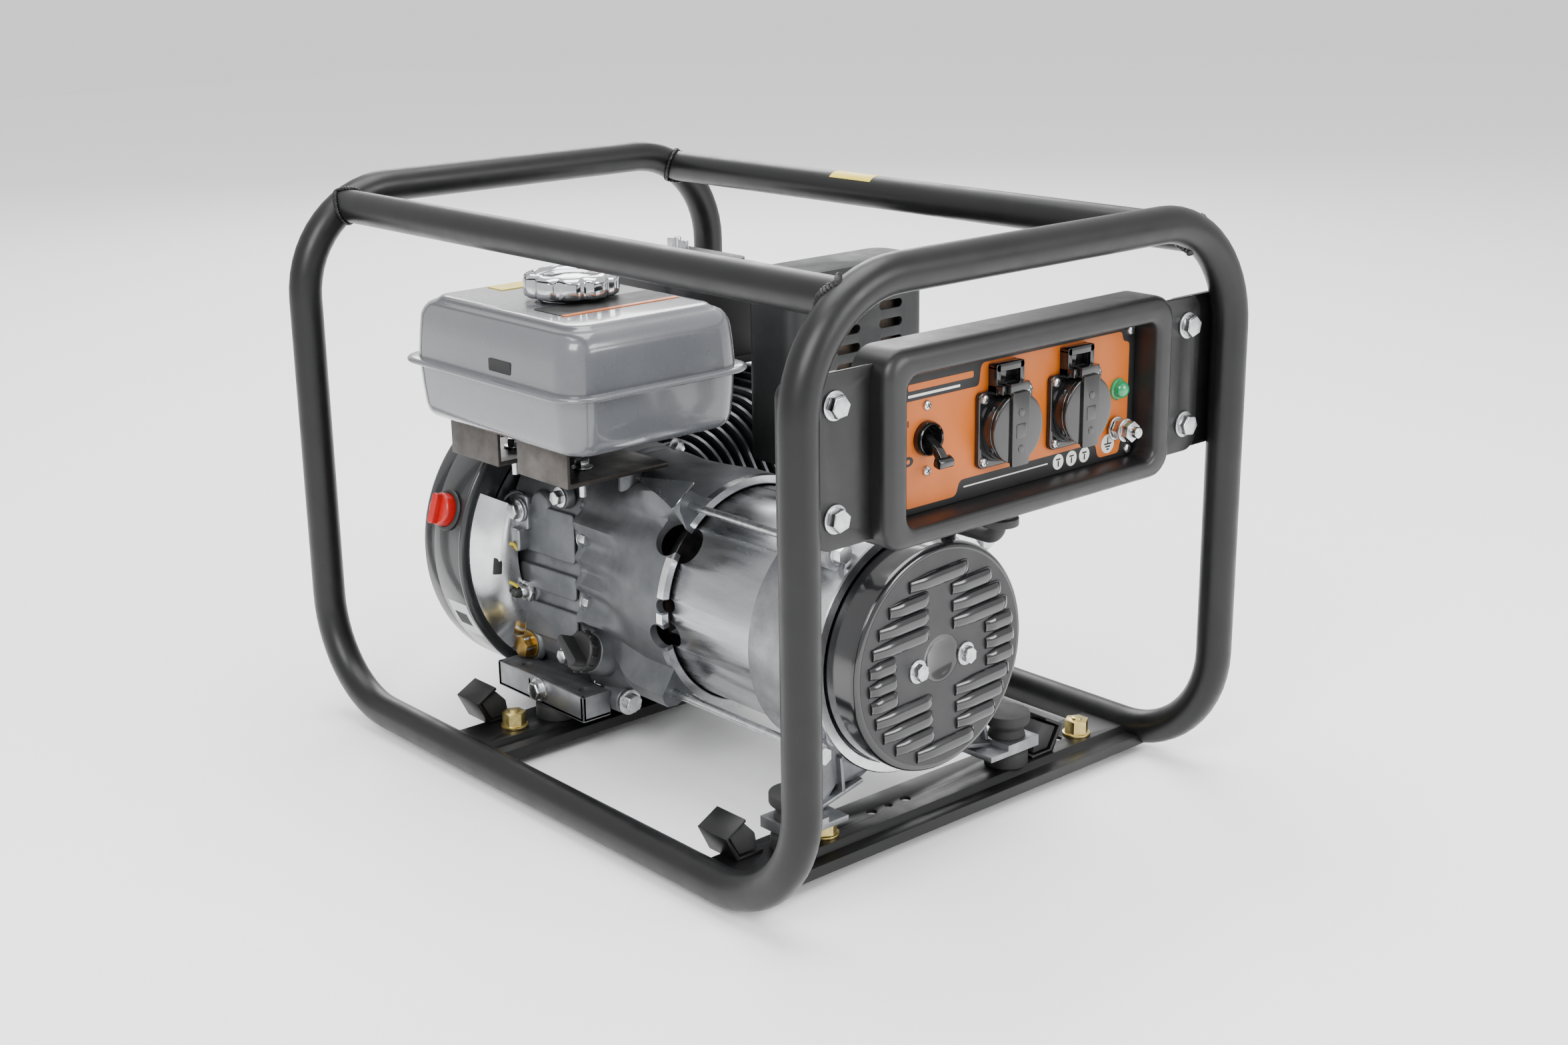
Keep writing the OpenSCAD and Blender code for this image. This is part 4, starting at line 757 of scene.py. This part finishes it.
elbow = [(268, -12, 244), (268, -12, 238)] + arcPath((258, -12, 235), 10, 0, -90, (1, 0, 0), (0, 0, 1), 8)
elbow += arcPath((232, -12, 215), 10, 90, 180, (1, 0, 0), (0, 0, 1), 8)
build("panelLoom", [sweep(elbow, 5, 20),
                    revolve([(0, 0), (13, 0), (13, 5), (11, 6), (11, 10.5), (0, 10.5)],
                            facing("+z", (268, -12, 234.6)), 32)],
      "matteBlackPlastic", stands=["panel_lead"], bevel=0.4)
print("panel done")

# --- alternator ---
refine("statorShell", "stator_shell", "brushedAluminium", bevel=0.3)
shaft = facing("+x", (0, shaftY, shaftZ))
build("shellSeam", [block((46, shaftY - 2 + 8, shaftZ + 79.6), (134, shaftY + 2 + 8, shaftZ + 80.6))],
      "brushedAluminium", bevel=0.3)
build("shellRims", [revolve([(80.3, 134), (81.6, 134.3), (82.2, 135.6), (82.2, 137), (80.3, 137)], shaft, 96,
                            closed=True)], "machinedAluminium")
refine("statorCore", "stator_core", "machinedSteel", bevel=0.3)
coilParts = []
for x in (48.5, 122.5):
    for k in range(12):
        a = math.radians(30 * k + 15)
        ring = [(x + 4.5 + 4.4 * math.cos(2 * math.pi * j / 12), 64 + 9.5 * math.sin(2 * math.pi * j / 12))
                for j in range(12)]
        rings = []
        for q in range(7):
            b = a + math.radians(-17 + 34 * q / 6)
            rings.append([(px, shaftY + r * math.cos(b), shaftZ + r * math.sin(b)) for px, r in ring])
        coilParts.append(loft(rings))
build("statorCoils", coilParts, "enamelledCopper", stands=["stator_winding"], angle=60)
refine("rotorUnit", "rotor", "machinedSteel", body="crank", bevel=0.4)
refine("rotorBearing", "rotor_bearing", "machinedSteel", bevel=0.2)
refine("rearBracket", "rear_bracket", "blastedAluminium", bevel=1.1)
refine("throughBolts", "through_bolts", "zincPlate", bevel=0.4)
refine("brushGear", "brush_gear", "brushPlastic", bevel=0.5)
build("bracketRim", [revolve([(82, 184), (88.6, 184), (89.2, 185), (89.2, 205), (88.4, 206), (82, 206)],
                             shaft, 96, closed=True)],
      "machinedAluminium")
webs = []
for s in (-1, 1):
    for a, b in (((26, -82), (74, -48)), ((40, -88), (88, -99)), ((60, -66), (58, -92)),
                 ((76, -58), (84, -94))):
        pa, pb = Vector((0, s * a[0], a[1])), Vector((0, s * b[0], b[1]))
        along = (pb - pa).normalized()
        side = Vector((0, -along.z, along.y)) * 1.6
        origin = Vector((178, shaftY, shaftZ))
        ring = [origin + pa + side, origin + pb + side, origin + pb - side, origin + pa - side]
        webs.append(loft([ring, [p + Vector((22, 0, 0)) for p in ring]]))
build("legWebs", webs, "blastedAluminium", bevel=0.7)

cover = {"radius": 80.4, "back": 207, "face": 234, "edge": 4.5, "pitch": 12.3, "tilt": 3.5, "rows": 5}
coverR, coverEdge, bendX = cover["radius"], cover["edge"], cover["face"] - cover["edge"]
profile = [(coverR - 1.8, cover["back"]), (coverR, cover["back"]), (coverR, bendX)]
profile += [(coverR - coverEdge + coverEdge * math.cos(math.radians(a)),
             bendX + coverEdge * math.sin(math.radians(a)))
            for a in range(15, 91, 15)]
profile += [(70, 234), (17, 234), (13, 233), (10.5, 231.6), (0, 231.4), (0, 229.8), (74, 232), (78.6, 229)]
coverHoles = [revolve([(0, 0), (5.4, 0), (5.4, 60), (0, 60)], facing("+z", (222, -12, 190)), 20)]
build("endCover", [revolve(profile, shaft, 128)], "glossBlackSteel", stands=["end_cover"], holes=coverHoles,
      angle=40)
build("endCoverFace", [revolve([(75, 233.9), (75.4, 234.15), (17, 234.25), (16.6, 233.9)], shaft, 128,
                               closed=True)], "stoveBlackEnamel")
louvreSpots, mouthSpots = [], []
tilt = Matrix.Rotation(math.radians(cover["tilt"]), 4, "Z")
for k in range(-cover["rows"], cover["rows"] + 1):
    z = k * cover["pitch"]
    spans = [(-26, 30)]
    if abs(k) < 5:
        left, right = -math.sqrt(67 ** 2 - z * z), math.sqrt(71 ** 2 - z * z)
        spans = [(left, -42 if abs(k) < 2 else -9), (44 if abs(k) < 2 else 13, right)]
    for y0, y1 in spans:
        m = facing("+x", (234.1, shaftY, shaftZ - 3)) @ tilt @ Matrix.Translation((y0, z, 0))
        louvreSpots.append((m, ((y1 - y0) / 40, 1, 1)))
        mouthSpots.append((m, unit))
hood = []
for i in range(13):
    t = i / 12
    x = 40 * t
    height = 3.9 * math.sin(math.pi * min(0.5, 0.16 + t * 1.2)) * (1
                                                                   if t < 0.86 else math.cos((t - 0.86) / 0.14 * math.pi / 2) ** 0.5 if t < 1 else 0.02)
    width = 6.15 * (0.72 + 0.28 * min(1, t * 3)) * (1 if t < 0.9 else 1 - 0.25 * (t - 0.9) / 0.1)
    hood.append([(x, width * math.cos(math.pi * j / 10), max(0.0, height * math.sin(math.pi * j / 10)) - 0.25)
                 for j in range(11)]
                + [(x, width * math.cos(math.pi * (10 - j) / 10) * 0.98, -0.6) for j in range(11)])
repeat("louvreHoods", [loft(hood)], louvreSpots, "glossBlackSteel", angle=50)
mouth = [(0.2, 4.4 * math.cos(math.pi * j / 10), 2.2 * math.sin(math.pi * j / 10) - 0.1) for j in range(11)]
repeat("louvreMouths", [loft([[(-1.2 + 0.1 * q, y, z) for _, y, z in mouth] for q in (0, 12)])], mouthSpots,
       "glossBlackSteel")
coverBolts = [(facing("+x", (234.2, shaftY + s * 23 * math.cos(0.06), shaftZ - 3 + s * 23 * 0.06)), unit)
              for s in (-1, 1)]
repeat("coverBolts", hexHead(5.4, 5, 7.6, 1.5), coverBolts, "zincPlate", jitter=3, seed=9, bevel=0.4)
print("alternator done")

# --- engine ---
caseCorners = [(-84, 40), (36, 40), (44, 60), (47, 117), (1, 218), (-20, 224), (-62, 222), (-88, 206),
               (-98, 186), (-98, 62)]
caseSpots = 120
bolt = {"turn": 53.2, "earReach": 109}
boltAngles = [math.radians(180 - (bolt["turn"] - 90 * q)) for q in range(4)]


def rayRadius(angle):
    best = 0
    d = Vector((math.cos(angle), math.sin(angle)))
    for i, corner in enumerate(caseCorners):
        a = Vector(corner) - Vector((shaftY, shaftZ))
        b = Vector(caseCorners[i - 1]) - Vector((shaftY, shaftZ))
        e = b - a
        den = d.x * e.y - d.y * e.x
        if abs(den) < 1e-9:
            continue
        t = (a.x * e.y - a.y * e.x) / den
        u = (a.x * d.y - a.y * d.x) / den
        if t > 0 and -1e-6 <= u <= 1 + 1e-6:
            best = max(best, t)
    return best


rawCase = [rayRadius(2 * math.pi * i / caseSpots) for i in range(caseSpots)]
softCase = [sum(rawCase[(i + k) % caseSpots] for k in range(-3, 4)) / 7 for i in range(caseSpots)]


swells = [(150, 9), (168, 7), (184, 8), (203, 9), (236, 6), (112, 7), (60, 5)]


def caseRing(x, blend, grow=0.0, ears=0.0):
    ring = []
    for i, radius in enumerate(softCase):
        a = 2 * math.pi * i / caseSpots
        r = radius * (1 - blend) + 88 * blend + grow
        for middle, rise in swells:
            off = math.atan2(math.sin(a - math.radians(middle)), math.cos(a - math.radians(middle)))
            r += rise * (1 - blend) * math.exp(-(off / 0.085) ** 2)
        for b in boltAngles:
            off = math.atan2(math.sin(a - b), math.cos(a - b))
            r = max(r, r + (bolt["earReach"] - r) * ears * math.exp(-(off / 0.12) ** 4))
        ring.append((x, shaftY + r * math.cos(a), shaftZ + r * math.sin(a)))
    return ring


coverRings = [caseRing(x, b, g, e) for x, b, g, e in (
    (-77.9, 0, 0.6, 0), (-77.2, 0, 1.4, 0), (-73.5, 0, 1.4, 0), (-72, 0, 0.3, 0), (-70, 0, 0, 0),
    (-60, 0.04, 0, 0),
    (-50, 0.14, -1, 0), (-40, 0.3, -2, 0.1), (-30, 0.5, -2, 0.35), (-20, 0.68, -2, 0.55),
    (-10, 0.84, -1.5, 0.75),
    (0, 0.94, -1, 0.9), (10, 1, 0, 1), (36, 1, 0, 1), (41.8, 1, 0, 1), (42.9, 1, -1, 1))]
ventCuts = []
for turn, radius in ((-38.4, 14), (-6, 5), (10, 9.5)):
    a = math.radians(180 + turn)
    ventCuts.append(revolve([(0, 60), (radius, 60), (radius, 130), (0, 130)],
                            aimed((0, math.cos(a), math.sin(a)), (46 - radius, shaftY, shaftZ)), 40))
bellCut = revolve([(0, -14), (82, -14), (82, 46), (0, 46)], shaft, 96)
caseCut = revolve([(0, -80), (60, -80), (60, -32), (0, -32)], shaft, 64)
build("crankcaseCover", [loft(coverRings)], "dieCastAluminium", stands=["crankcase_cover"],
      holes=[bellCut, caseCut] + ventCuts, angle=40)

neck = aimed((0, -math.cos(math.radians(20)), math.sin(math.radians(20))), (-61.5, -108, 81))
castParts = [revolve([(10.3, -22), (16, -22), (17.5, -8), (15.5, -3), (15.5, 0), (10.3, 0)], neck, 40,
                     closed=True),
             revolve([(0, 200), (10, 200), (9, 226), (8, 227.9), (0, 227.9)], facing("+z", (-46, -74, 0)), 32),
             revolve([(0, 196), (10, 196), (9, 226), (8, 227.9), (0, 227.9)], facing("+z", (-133, -74, 0)), 32),
             revolve([(0, -62), (11, -62), (10, -42), (0, -41)], facing("+x", (0, -88, 42)), 32)]
build("coverBosses", castParts, "dieCastAluminium", bevel=1.4, segments=3)
rimSkin = []
for a0, a1 in ((60, 133), (151, 170.5), (178, 183), (197, 262)):
    rings = [[(x, shaftY + r * math.cos(math.radians(a0 + (a1 - a0) * i / 20)),
               shaftZ + r * math.sin(math.radians(a0 + (a1 - a0) * i / 20)))
              for x, r in ((36.5, 88.2), (43.1, 88.2), (43.1, 82.6), (36.5, 86))] for i in range(21)]
    rimSkin.append(loft(rings))
earAt = aimed((0, math.cos(boltAngles[0]), math.sin(boltAngles[0])),
              (0, shaftY + bolt["earReach"] * math.cos(boltAngles[0]),
               shaftZ + bolt["earReach"] * math.sin(boltAngles[0])), (1, 0, 0))
rimSkin.append(prism(softCorners([(-3, -16), (-13, 42.9), (13, 42.9), (7, 24)], 1.5), earAt, 0.9, -0.6))
build("bellMachinedFace", rimSkin, "machinedAluminium")

refine("crankcase", "crankcase", "dieCastAluminium", bevel=1.6, segments=3)
finSkin = []
tiltY, tiltZ = math.cos(math.radians(25)), math.sin(math.radians(25))
for k in range(9):
    d = 68 + 9 * k
    m = aimed((0, tiltY, tiltZ), (-112, shaftY + d * tiltY, shaftZ + d * tiltZ), (1, 0, 0))
    finSkin.append(prism(roundRect(117, 111, 27, 7, (0, -3)), m, 2.8, -0.3))
boreCut = [revolve([(0, 50), (42, 50), (42, 150), (0, 150)], aimed((0, tiltY, tiltZ), (-112, shaftY, shaftZ)),
                   48)]
build("coolingFins", finSkin, "finCasting", bevel=0.7, holes=boreCut)

wallParts = []
for z0, z1, y in ((74, 104, -98.5), (112, 134, -98.5), (142, 184, -98.5)):
    outline = [(-158, z0), (-84, z0 + 2), (-84, z1), (-158, z1 - 3)]
    wallParts.append(prism(softCorners(outline, 4), facing("-y", (0, y - 0.9, 0)), 2.4))
for x, z, r, deep in ((-97, 196, 9, 7), (-97, 68, 9, 7), (-128, 182, 11, 6), (-150, 109, 13, 4),
                      (-150, 63, 13, 5)):
    wallParts.append(revolve([(0, 0), (r + 2, 0), (r, deep - 1), (r - 1, deep), (0, deep)],
                             facing("-y", (x, -96, z)), 28))
build("caseWallPads", wallParts, "dieCastAluminium", bevel=2.4, segments=4)

outlineOut = []
for i in range(caseSpots * 2):
    a = math.pi * i / caseSpots
    base = softCase[(i // 2) % caseSpots]
    wave = 1.6 + 2.6 * max(0, math.cos(9 * a + 0.6)) ** 3
    outlineOut.append((shaftY + (base + wave) * math.cos(a), shaftZ + (base + wave) * math.sin(a)))
build("seamFlange", [prism(outlineOut, facing("+x", (-80.5, 0, 0)), 4.5)], "dieCastAluminium", bevel=0.9)
seamSpots = []
for k in range(9):
    a = (2 * math.pi * k - 0.6) / 9
    base = softCase[int(round(a / (2 * math.pi) * caseSpots)) % caseSpots]
    seamSpots.append((facing("+x", (-73.4, shaftY + (base + 1.5) * math.cos(a),
                                    shaftZ + (base + 1.5) * math.sin(a))), unit))
repeat("seamBolts", hexHead(5.4, 5, 7, 1.2), seamSpots, "zincPlate", jitter=3, seed=12, bevel=0.4)

railParts = [block((-163.5, -124, 30.8), (-50, -98, 34.5)), block((-163.5, -124, 31), (-50, -120.5, 51.5)),
             block((-163.5, -124, 31), (-159, -98, 51.5)), block((-122, -124, 31), (-118, -98, 49)),
             block((-54, -124, 31), (-50, -98, 51.5))]
build("baseRailWalls", railParts, "blastedAluminium", bevel=0.9)

refine("cylinderHead", "cylinder_head", "finCasting", bevel=0.8)
refine("valveCover", "valve_cover", "stoveBlackEnamel", bevel=2.2, segments=3)
refine("sparkPlug", "spark_plug", "glazedCeramic", bevel=0.5)
refine("ignitionCoil", "ignition_coil", "matteBlackPlastic", bevel=0.6)
refine("flywheel", "flywheel", "machinedSteel", body="crank", bevel=0.4)
refine("crankshaft", "crankshaft", "machinedSteel", body="crank", bevel=0.5)
refine("camshaft", "camshaft", "machinedSteel", body="cam", bevel=0.5)
refine("piston", "piston", "machinedAluminium", bevel=0.4)
refine("connectingRod", "connecting_rod", "blastedAluminium", bevel=0.5)
refine("carburettor", "carburettor", "blastedAluminium", bevel=1.2)
refine("chokeLever", "choke_lever", "matteBlackPlastic", body="choke", bevel=0.4)
refine("airFilter", "air_filter", "filterFoam", bevel=1)
refine("muffler", "muffler", "heatStainedSteel", bevel=2.2, segments=3)
refine("mufflerGuard", "muffler_guard", "heatproofPaint", bevel=0.8)
refine("airCleaner", "air_cleaner", "stoveBlackEnamel", bevel=1.6, segments=3)
print("engine castings done")

# --- fan housing and starter ---
refine("blowerHousing", "blower_housing", "greyShroudEnamel", bevel=0.9, segments=3)
build("blowerRoll", [revolve([(117.2, -171.5), (119, -172), (120.6, -170.6), (120.6, -168.8), (119, -167.6),
                              (115, -167.4), (115, -169), (117.2, -169.4)],
                             shaft, 120, closed=True)], "greyShroudEnamel", angle=60)
refine("recoilHousing", "recoil_housing", "greyShroudEnamel", bevel=1.2, segments=3)
refine("recoilPulley", "recoil_pulley", "redPlastic", body="starter_pulley", bevel=0.4)
at = facing("+z", (-232, 30, 258))
grip = [[(-232 + 11 * w * math.cos(2 * math.pi * j / 32), 30 + y,
          274 + 11 * w * 0.92 * math.sin(2 * math.pi * j / 32)) for j in range(32)]
        for y, w in ((-36, 0.5), (-35.6, 0.75), (-34, 0.93), (-30, 1), (-18, 0.93), (-8, 0.9), (0, 0.98),
                     (8, 0.9), (18, 0.93), (30, 1), (34, 0.93), (35.6, 0.75), (36, 0.5))]
build("starterGrip", [loft(grip), revolve([(3, 0), (9, 0), (9.4, 4), (8, 10), (7, 16), (3, 16)], at, 32,
                                          closed=True)],
      "matteBlackPlastic", body="starter_handle", stands=["recoil_handle"], angle=50)
rope = []
for strand in range(3):
    path = [(-232 + 1.25 * math.cos(2 * math.pi * (z / 14 + strand / 3)),
             30 + 1.25 * math.sin(2 * math.pi * (z / 14 + strand / 3)), 141 + z)
            for z in range(0, 122, 2)]
    rope.append(sweep(path, 1.25, 8))
cord = build("starterRope", rope, "starterRope", body="", angle=70)
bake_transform(cord)
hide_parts("recoil_rope")

plateParts = []
arc = [math.radians(152 + 4 * i) for i in range(27)]
rings = []
for a in arc:
    rings.append([(x, shaftY + r * math.cos(a), shaftZ + r * math.sin(a))
                  for r, x in ((78, -151), (86, -151.5), (94, -154), (102, -160), (109, -165.5),
                               (112, -167.2), (112, -168.6), (102, -166), (90, -160), (78, -156))])
plateParts.append(loft(rings))
build("fanBackPlate", plateParts, "galvanisedSheet", angle=50)
build("fanSticker", [loft([[(x, shaftY + r * math.cos(math.radians(a)), shaftZ + r * math.sin(math.radians(a)))
                            for r in (119.2, 118.8) for x in ((-202, -176) if r > 119 else (-176, -202))]
                            for a in range(199, 216, 2)])], "paleLabel")
build("stickerMark", [loft([[(x, shaftY + r * math.cos(math.radians(a)), shaftZ + r * math.sin(math.radians(a)))
                             for r in (119.4, 119.0) for x in ((-198, -182) if r > 119.2 else (-182, -198))]
                             for a in range(204, 212, 2)])], "blackPanelInk")

# switch on the housing and the wires beside it
tiltSwitch = math.radians(18)
switchOut = (0, -math.cos(tiltSwitch), math.sin(tiltSwitch))
switchAt = aimed(switchOut, (-192, shaftY - 119 * math.cos(tiltSwitch), shaftZ + 119 * math.sin(tiltSwitch)))
build("engineSwitch", [revolve([(0, -7), (7.9, -7), (7.9, 0.4), (12.6, 0.4), (13.2, 1.6), (13, 9),
                                (11.6, 10.6), (0, 10.8)], switchAt, 40),
                       prism(roundRect(7, 24, 2.5, 4), switchAt, 5.4, 10.4)], "redPlastic", body="run_switch",
      stands=["engine_switch"], bevel=0.8, segments=3)
build("switchBezel", [revolve([(12.8, 0.05), (16, 0.05), (16.4, 1), (15.4, 2.4), (13.6, 2.8)], switchAt, 40,
                              closed=True)],
      "matteBlackPlastic")

wireRoutes = [
    ([(-186, -137, 168), (-182, -139, 160), (-186, -137, 148), (-183, -131, 140), (-178, -126, 139)], 1.4),
    ([(-163, -117, 141), (-157, -116, 146), (-150, -113, 149), (-148, -110, 144)], 1.4),
    ([(-166, -118, 137), (-164, -119, 131), (-160, -118, 123), (-154, -116, 118), (-149, -114, 116),
      (-147, -112, 114)], 1.4),
    ([(-186, -136, 165), (-178, -130, 172), (-170, -124, 166), (-166, -118, 158), (-160, -112, 154)], 1.2),
    ([(-162, -114, 176), (-156, -112, 186), (-150, -106, 190), (-146, -100, 186)], 1.2)]
build("yellowWires", [sweep(smoothPath(path, 6), radius, 10) for path, radius in wireRoutes[:3]],
      "yellowWire", angle=60)
build("blackWires", [sweep(smoothPath(path, 6), radius, 10) for path, radius in wireRoutes[3:]],
      "matteBlackPlastic", angle=60)
joints = []
for a, b, r in (((-181, -129, 139.5), (-163, -118, 141), 4.6), ((-174, -126, 134), (-160, -117, 138), 4.2)):
    a, b = Vector(a), Vector(b)
    length = (b - a).length
    joints.append(revolve([(0, 0), (r * 0.6, 0), (r, 2), (r, length * 0.45), (r * 1.2, length * 0.5),
                           (r * 1.2, length * 0.62), (r, length * 0.66), (r * 0.8, length), (0, length)],
                          aimed(b - a, a), 16))
build("wireConnectors", joints, "greenConnector", angle=40)
build("wireClip", [prism(softCorners([(-9, -7), (9, -6), (8, 8), (-7, 6)], 2),
                         aimed((-0.35, -1, 0.1), (-161, -119, 131)), 7)],
      "matteBlackPlastic", bevel=1)

at = facing("-y", (-148, -90, 109))
build("oilSensor", [revolve([(0, 0), (4.9, 0), (4.9, 8), (0, 8)], at, 24), prism(circle(9.6, 6), at, 7, 8),
                    revolve([(0, 15), (6.4, 15), (5.6, 17.5), (4, 21), (0, 21.2)], at, 24)], "zincPlate",
                    stands=["oil_sensor"], bevel=0.6)
build("sensorBoot", [revolve([(1.6, 20.5), (4.6, 20.5), (3.8, 25), (2, 27), (0, 27)], at, 20)],
      "matteBlackPlastic", angle=50)
build("regulatorBlock", [prism(roundRect(26, 18, 3, 4, (-157, 152)), facing("-y", (0, -98, 0)), 13),
                         prism(roundRect(24, 28, 2.5, 4, (-152, 174)), facing("-y", (0, -98, 0)), 7),
                         revolve([(0, 0), (9.5, 0), (9.5, 3), (0, 3)], facing("-y", (-147, -105, 176)), 28)],
      "blastedAluminium", bevel=1.4, segments=3)
refine("engineFasteners", "engine_fasteners", "zincPlate", bevel=0.5)
build("drainPlug", [prism(circle(9.5, 6, start=0.2), facing("-y", (-150, -101.4, 63)), 9.6),
                    revolve([(0, 0), (11.4, 0), (11.4, 1.4), (0, 1.4)], facing("-y", (-150, -100.8, 63)), 28)],
      "drainBrass", bevel=0.8)
hardware = [(facing("-y", (-147, -108, 176)), (1.1, 1.1, 1.1)), (facing("-y", (-97, -103, 196)), unit),
            (facing("-y", (-97, -103, 68)), unit),
            (facing("+z", (-133, -118, 231.8)), unit), (facing("+z", (-46, -118, 231.8)), unit),
            (facing("-y", (-106, -124, 43)), (1.2, 1.2, 1.1)),
            (facing("+x", (-39.5, -88, 42)), (1.25, 1.25, 1.1))]
repeat("caseBolts", hexHead(6, 5.4, 8, 1.4), hardware, "zincPlate", jitter=3, seed=15, bevel=0.5)
print("fan end done")

# --- oil filler ---
capParts = [revolve([(0, -12), (9.4, -12), (9.4, 3.1), (15.3, 3.1), (15.9, 4.2), (15.8, 9.6), (14.4, 11.2),
                     (0, 11.4)], neck, 40),
            prism(roundRect(7, 30, 3, 4), neck @ Matrix.Rotation(math.radians(60), 4, "Z"), 12.2, 10.8),
            revolve([(0, -34), (3, -34), (3, -11), (0, -11)], neck, 16)]
for k in range(12):
    a = 2 * math.pi * k / 12
    capParts.append(prism(circle(1.6, 8, (15.5 * math.cos(a), 15.5 * math.sin(a))), neck, 6, 4))
build("oilFillerCap", capParts, "matteBlackPlastic", body="oil_cap", stands=["oil_filler_cap"], bevel=0.7,
      segments=3)
refine("oilCapSeal", "oil_cap_seal", "blackRubber", body="oil_seat", bevel=0.3)

# --- fuel tank ---
tank = {"x": -78, "y": -98, "seamLength": 224, "seamWidth": 172, "corner": 26}


def tankRing(z, length, width, corner, dx=0.0, dy=0.0):
    return [(x + tank["x"] + dx, y + tank["y"] + dy, z) for x, y in roundRect(length, width, corner, 9)]


tankRings = [tankRing(*values) for values in (
    (258, 168, 116, 12), (258.5, 184, 132, 14), (260.5, 194, 142, 17), (264, 200, 148, 19),
    (270, 203, 151, 20), (285, 206, 154, 21),
    (298, 208, 156, 22), (301.6, 209, 157, 22), (304.4, 209, 157, 22), (310, 208.5, 156.5, 22),
    (325, 206.5, 154.5, 22),
    (333, 205, 153, 22), (338, 203, 151, 21), (342, 199, 147, 20), (345, 194, 142, 19), (346.5, 188, 136, 18),
    (347, 184, 132, 16),
    (348.6, 180, 128, 15), (349.8, 177, 125, 14), (350.2, 170, 118, 12))]
seamRings = [tankRing(z, tank["seamLength"] - 2 * d, tank["seamWidth"] - 2 * d, tank["corner"] - d) for z,
             d in (
    (300.9, 10), (300.9, 3), (301.4, 1), (302.4, 0), (303.6, 0), (304.6, 1), (305.1, 3), (305.1, 10))]
neckRing = revolve([(20, 346), (24.4, 346), (24.4, 351), (22.8, 352.6), (20, 352.9)],
                   facing("+z", (-82, -95, 0)), 48, closed=True)
tankCut = [revolve([(0, 335), (19.9, 335), (19.9, 358), (0, 358)], facing("+z", (-82, -95, 0)), 40)]
build("fuelTank", [loft(tankRings)], "greyTankEnamel", stands=["fuel_tank"], holes=tankCut, angle=50)
build("tankSeam", [loft(seamRings)], "greyTankEnamel", angle=50)
build("fillerNeck", [neckRing], "capChrome", angle=50)
build("tankNotice", [prism(softCorners([(-64, -143), (-30, -143), (-30, -40), (-64, -40)], 3),
                           facing("+z", (0, 0, 350)), 0.7)],
      "blackPanelInk")
build("tankNoticeStripe", [prism(softCorners([(-29.6, -143), (-24.5, -143), (-24.5, -40), (-29.6, -40)], 1),
                                 facing("+z", (0, 0, 350)), 0.8)],
      "orangePanelInk")
build("tankSideMark", [prism(roundRect(27, 9, 1.2, 3, (-60, 314.5)), facing("-y", (0, -175.6, 0)), 1)],
      "blackPanelInk")
build("tankLabel", [prism(softCorners([(-162, -116), (-142, -116), (-142, -74), (-162, -74)], 2),
                          facing("+z", (0, 0, 350)), 0.7)],
      "yellowLabel")
refine("tankBrackets", "tank_brackets", "passivatedSteel", bevel=0.5)

cap = {"x": -82, "y": -95, "lobes": 10}


def capRing(z, radius, depth):
    ring = []
    for j in range(160):
        a = 2 * math.pi * j / 160
        r = radius - depth * (0.5 - 0.5 * math.cos(cap["lobes"] * a)) ** 3
        ring.append((cap["x"] + r * math.cos(a), cap["y"] + r * math.sin(a), z))
    return ring


capRings = [capRing(*values) for values in (
    (357.4, 27, 0), (353.4, 27.6, 0), (352.9, 29.5, 0.5), (353.2, 33.6, 2), (354.6, 35.6, 3),
    (356.6, 36, 3.4), (365.4, 36, 3.4), (367.4, 35.2, 3.2), (368.9, 33, 2.4),
    (369.8, 29.5, 1), (370, 27.5, 0.3), (369.2, 26.6, 0), (367.4, 25.6, 0), (367, 24, 0), (367.3, 14, 0),
    (368.2, 6, 0), (368.3, 1, 0))]
build("fuelCap", [loft(capRings), revolve([(24, 356.4), (31, 356.9), (31, 360), (24, 360)],
                                          facing("+z", (-82, -95, 0)), 48, closed=True)],
      "capChrome", body="cap", stands=["fuel_cap"], angle=50)
refine("capGasket", "cap_gasket", "blackRubber", body="cap_seat", bevel=0.3)
print("tank done")

# --- stage ---
floorMesh = meshFrom("studioFloor", [([(-6000, -6000, -0.2), (6000, -6000, -0.2), (6000, 6000, -0.2),
                                       (-6000, 6000, -0.2)], [(0, 1, 2, 3)])])
floor = linked("studioFloor", floorMesh)
floorSkin = bpy.data.materials.new("paleFloor")
floorSkin.use_nodes = True
floorSkin.node_tree.nodes["Principled BSDF"].inputs["Base Color"].default_value = hexColour("#FCFCFC")
floorSkin.node_tree.nodes["Principled BSDF"].inputs["Roughness"].default_value = 0.85
floorMesh.materials.append(floorSkin)

world = bpy.data.worlds.new("studioAir")
world.use_nodes = True
world.node_tree.nodes["Background"].inputs["Color"].default_value = (1, 1, 1, 1)
world.node_tree.nodes["Background"].inputs["Strength"].default_value = 1.1
bpy.context.scene.world = world
lamps = [("keyLight", (1500, -2300, 2300), 1500, 100), ("topLight", (-200, 100, 2600), 1900, 85),
         ("sideLight", (2600, 900, 1300), 1200, 50), ("rearLight", (-2200, 1600, 1600), 1300, 38)]
for name, at, size, power in lamps:
    data = bpy.data.lights.new(name, "AREA")
    data.shape, data.size, data.energy = "SQUARE", size * mm, power
    lamp = bpy.data.objects.new(name, data)
    bpy.context.scene.collection.objects.link(lamp)
    lamp.matrix_world = aimed(Vector(at) - Vector((0, 0, 180)), (0, 0, 0)).to_3x3().to_4x4()
    lamp.location = Vector(at) * mm
print("stage done")
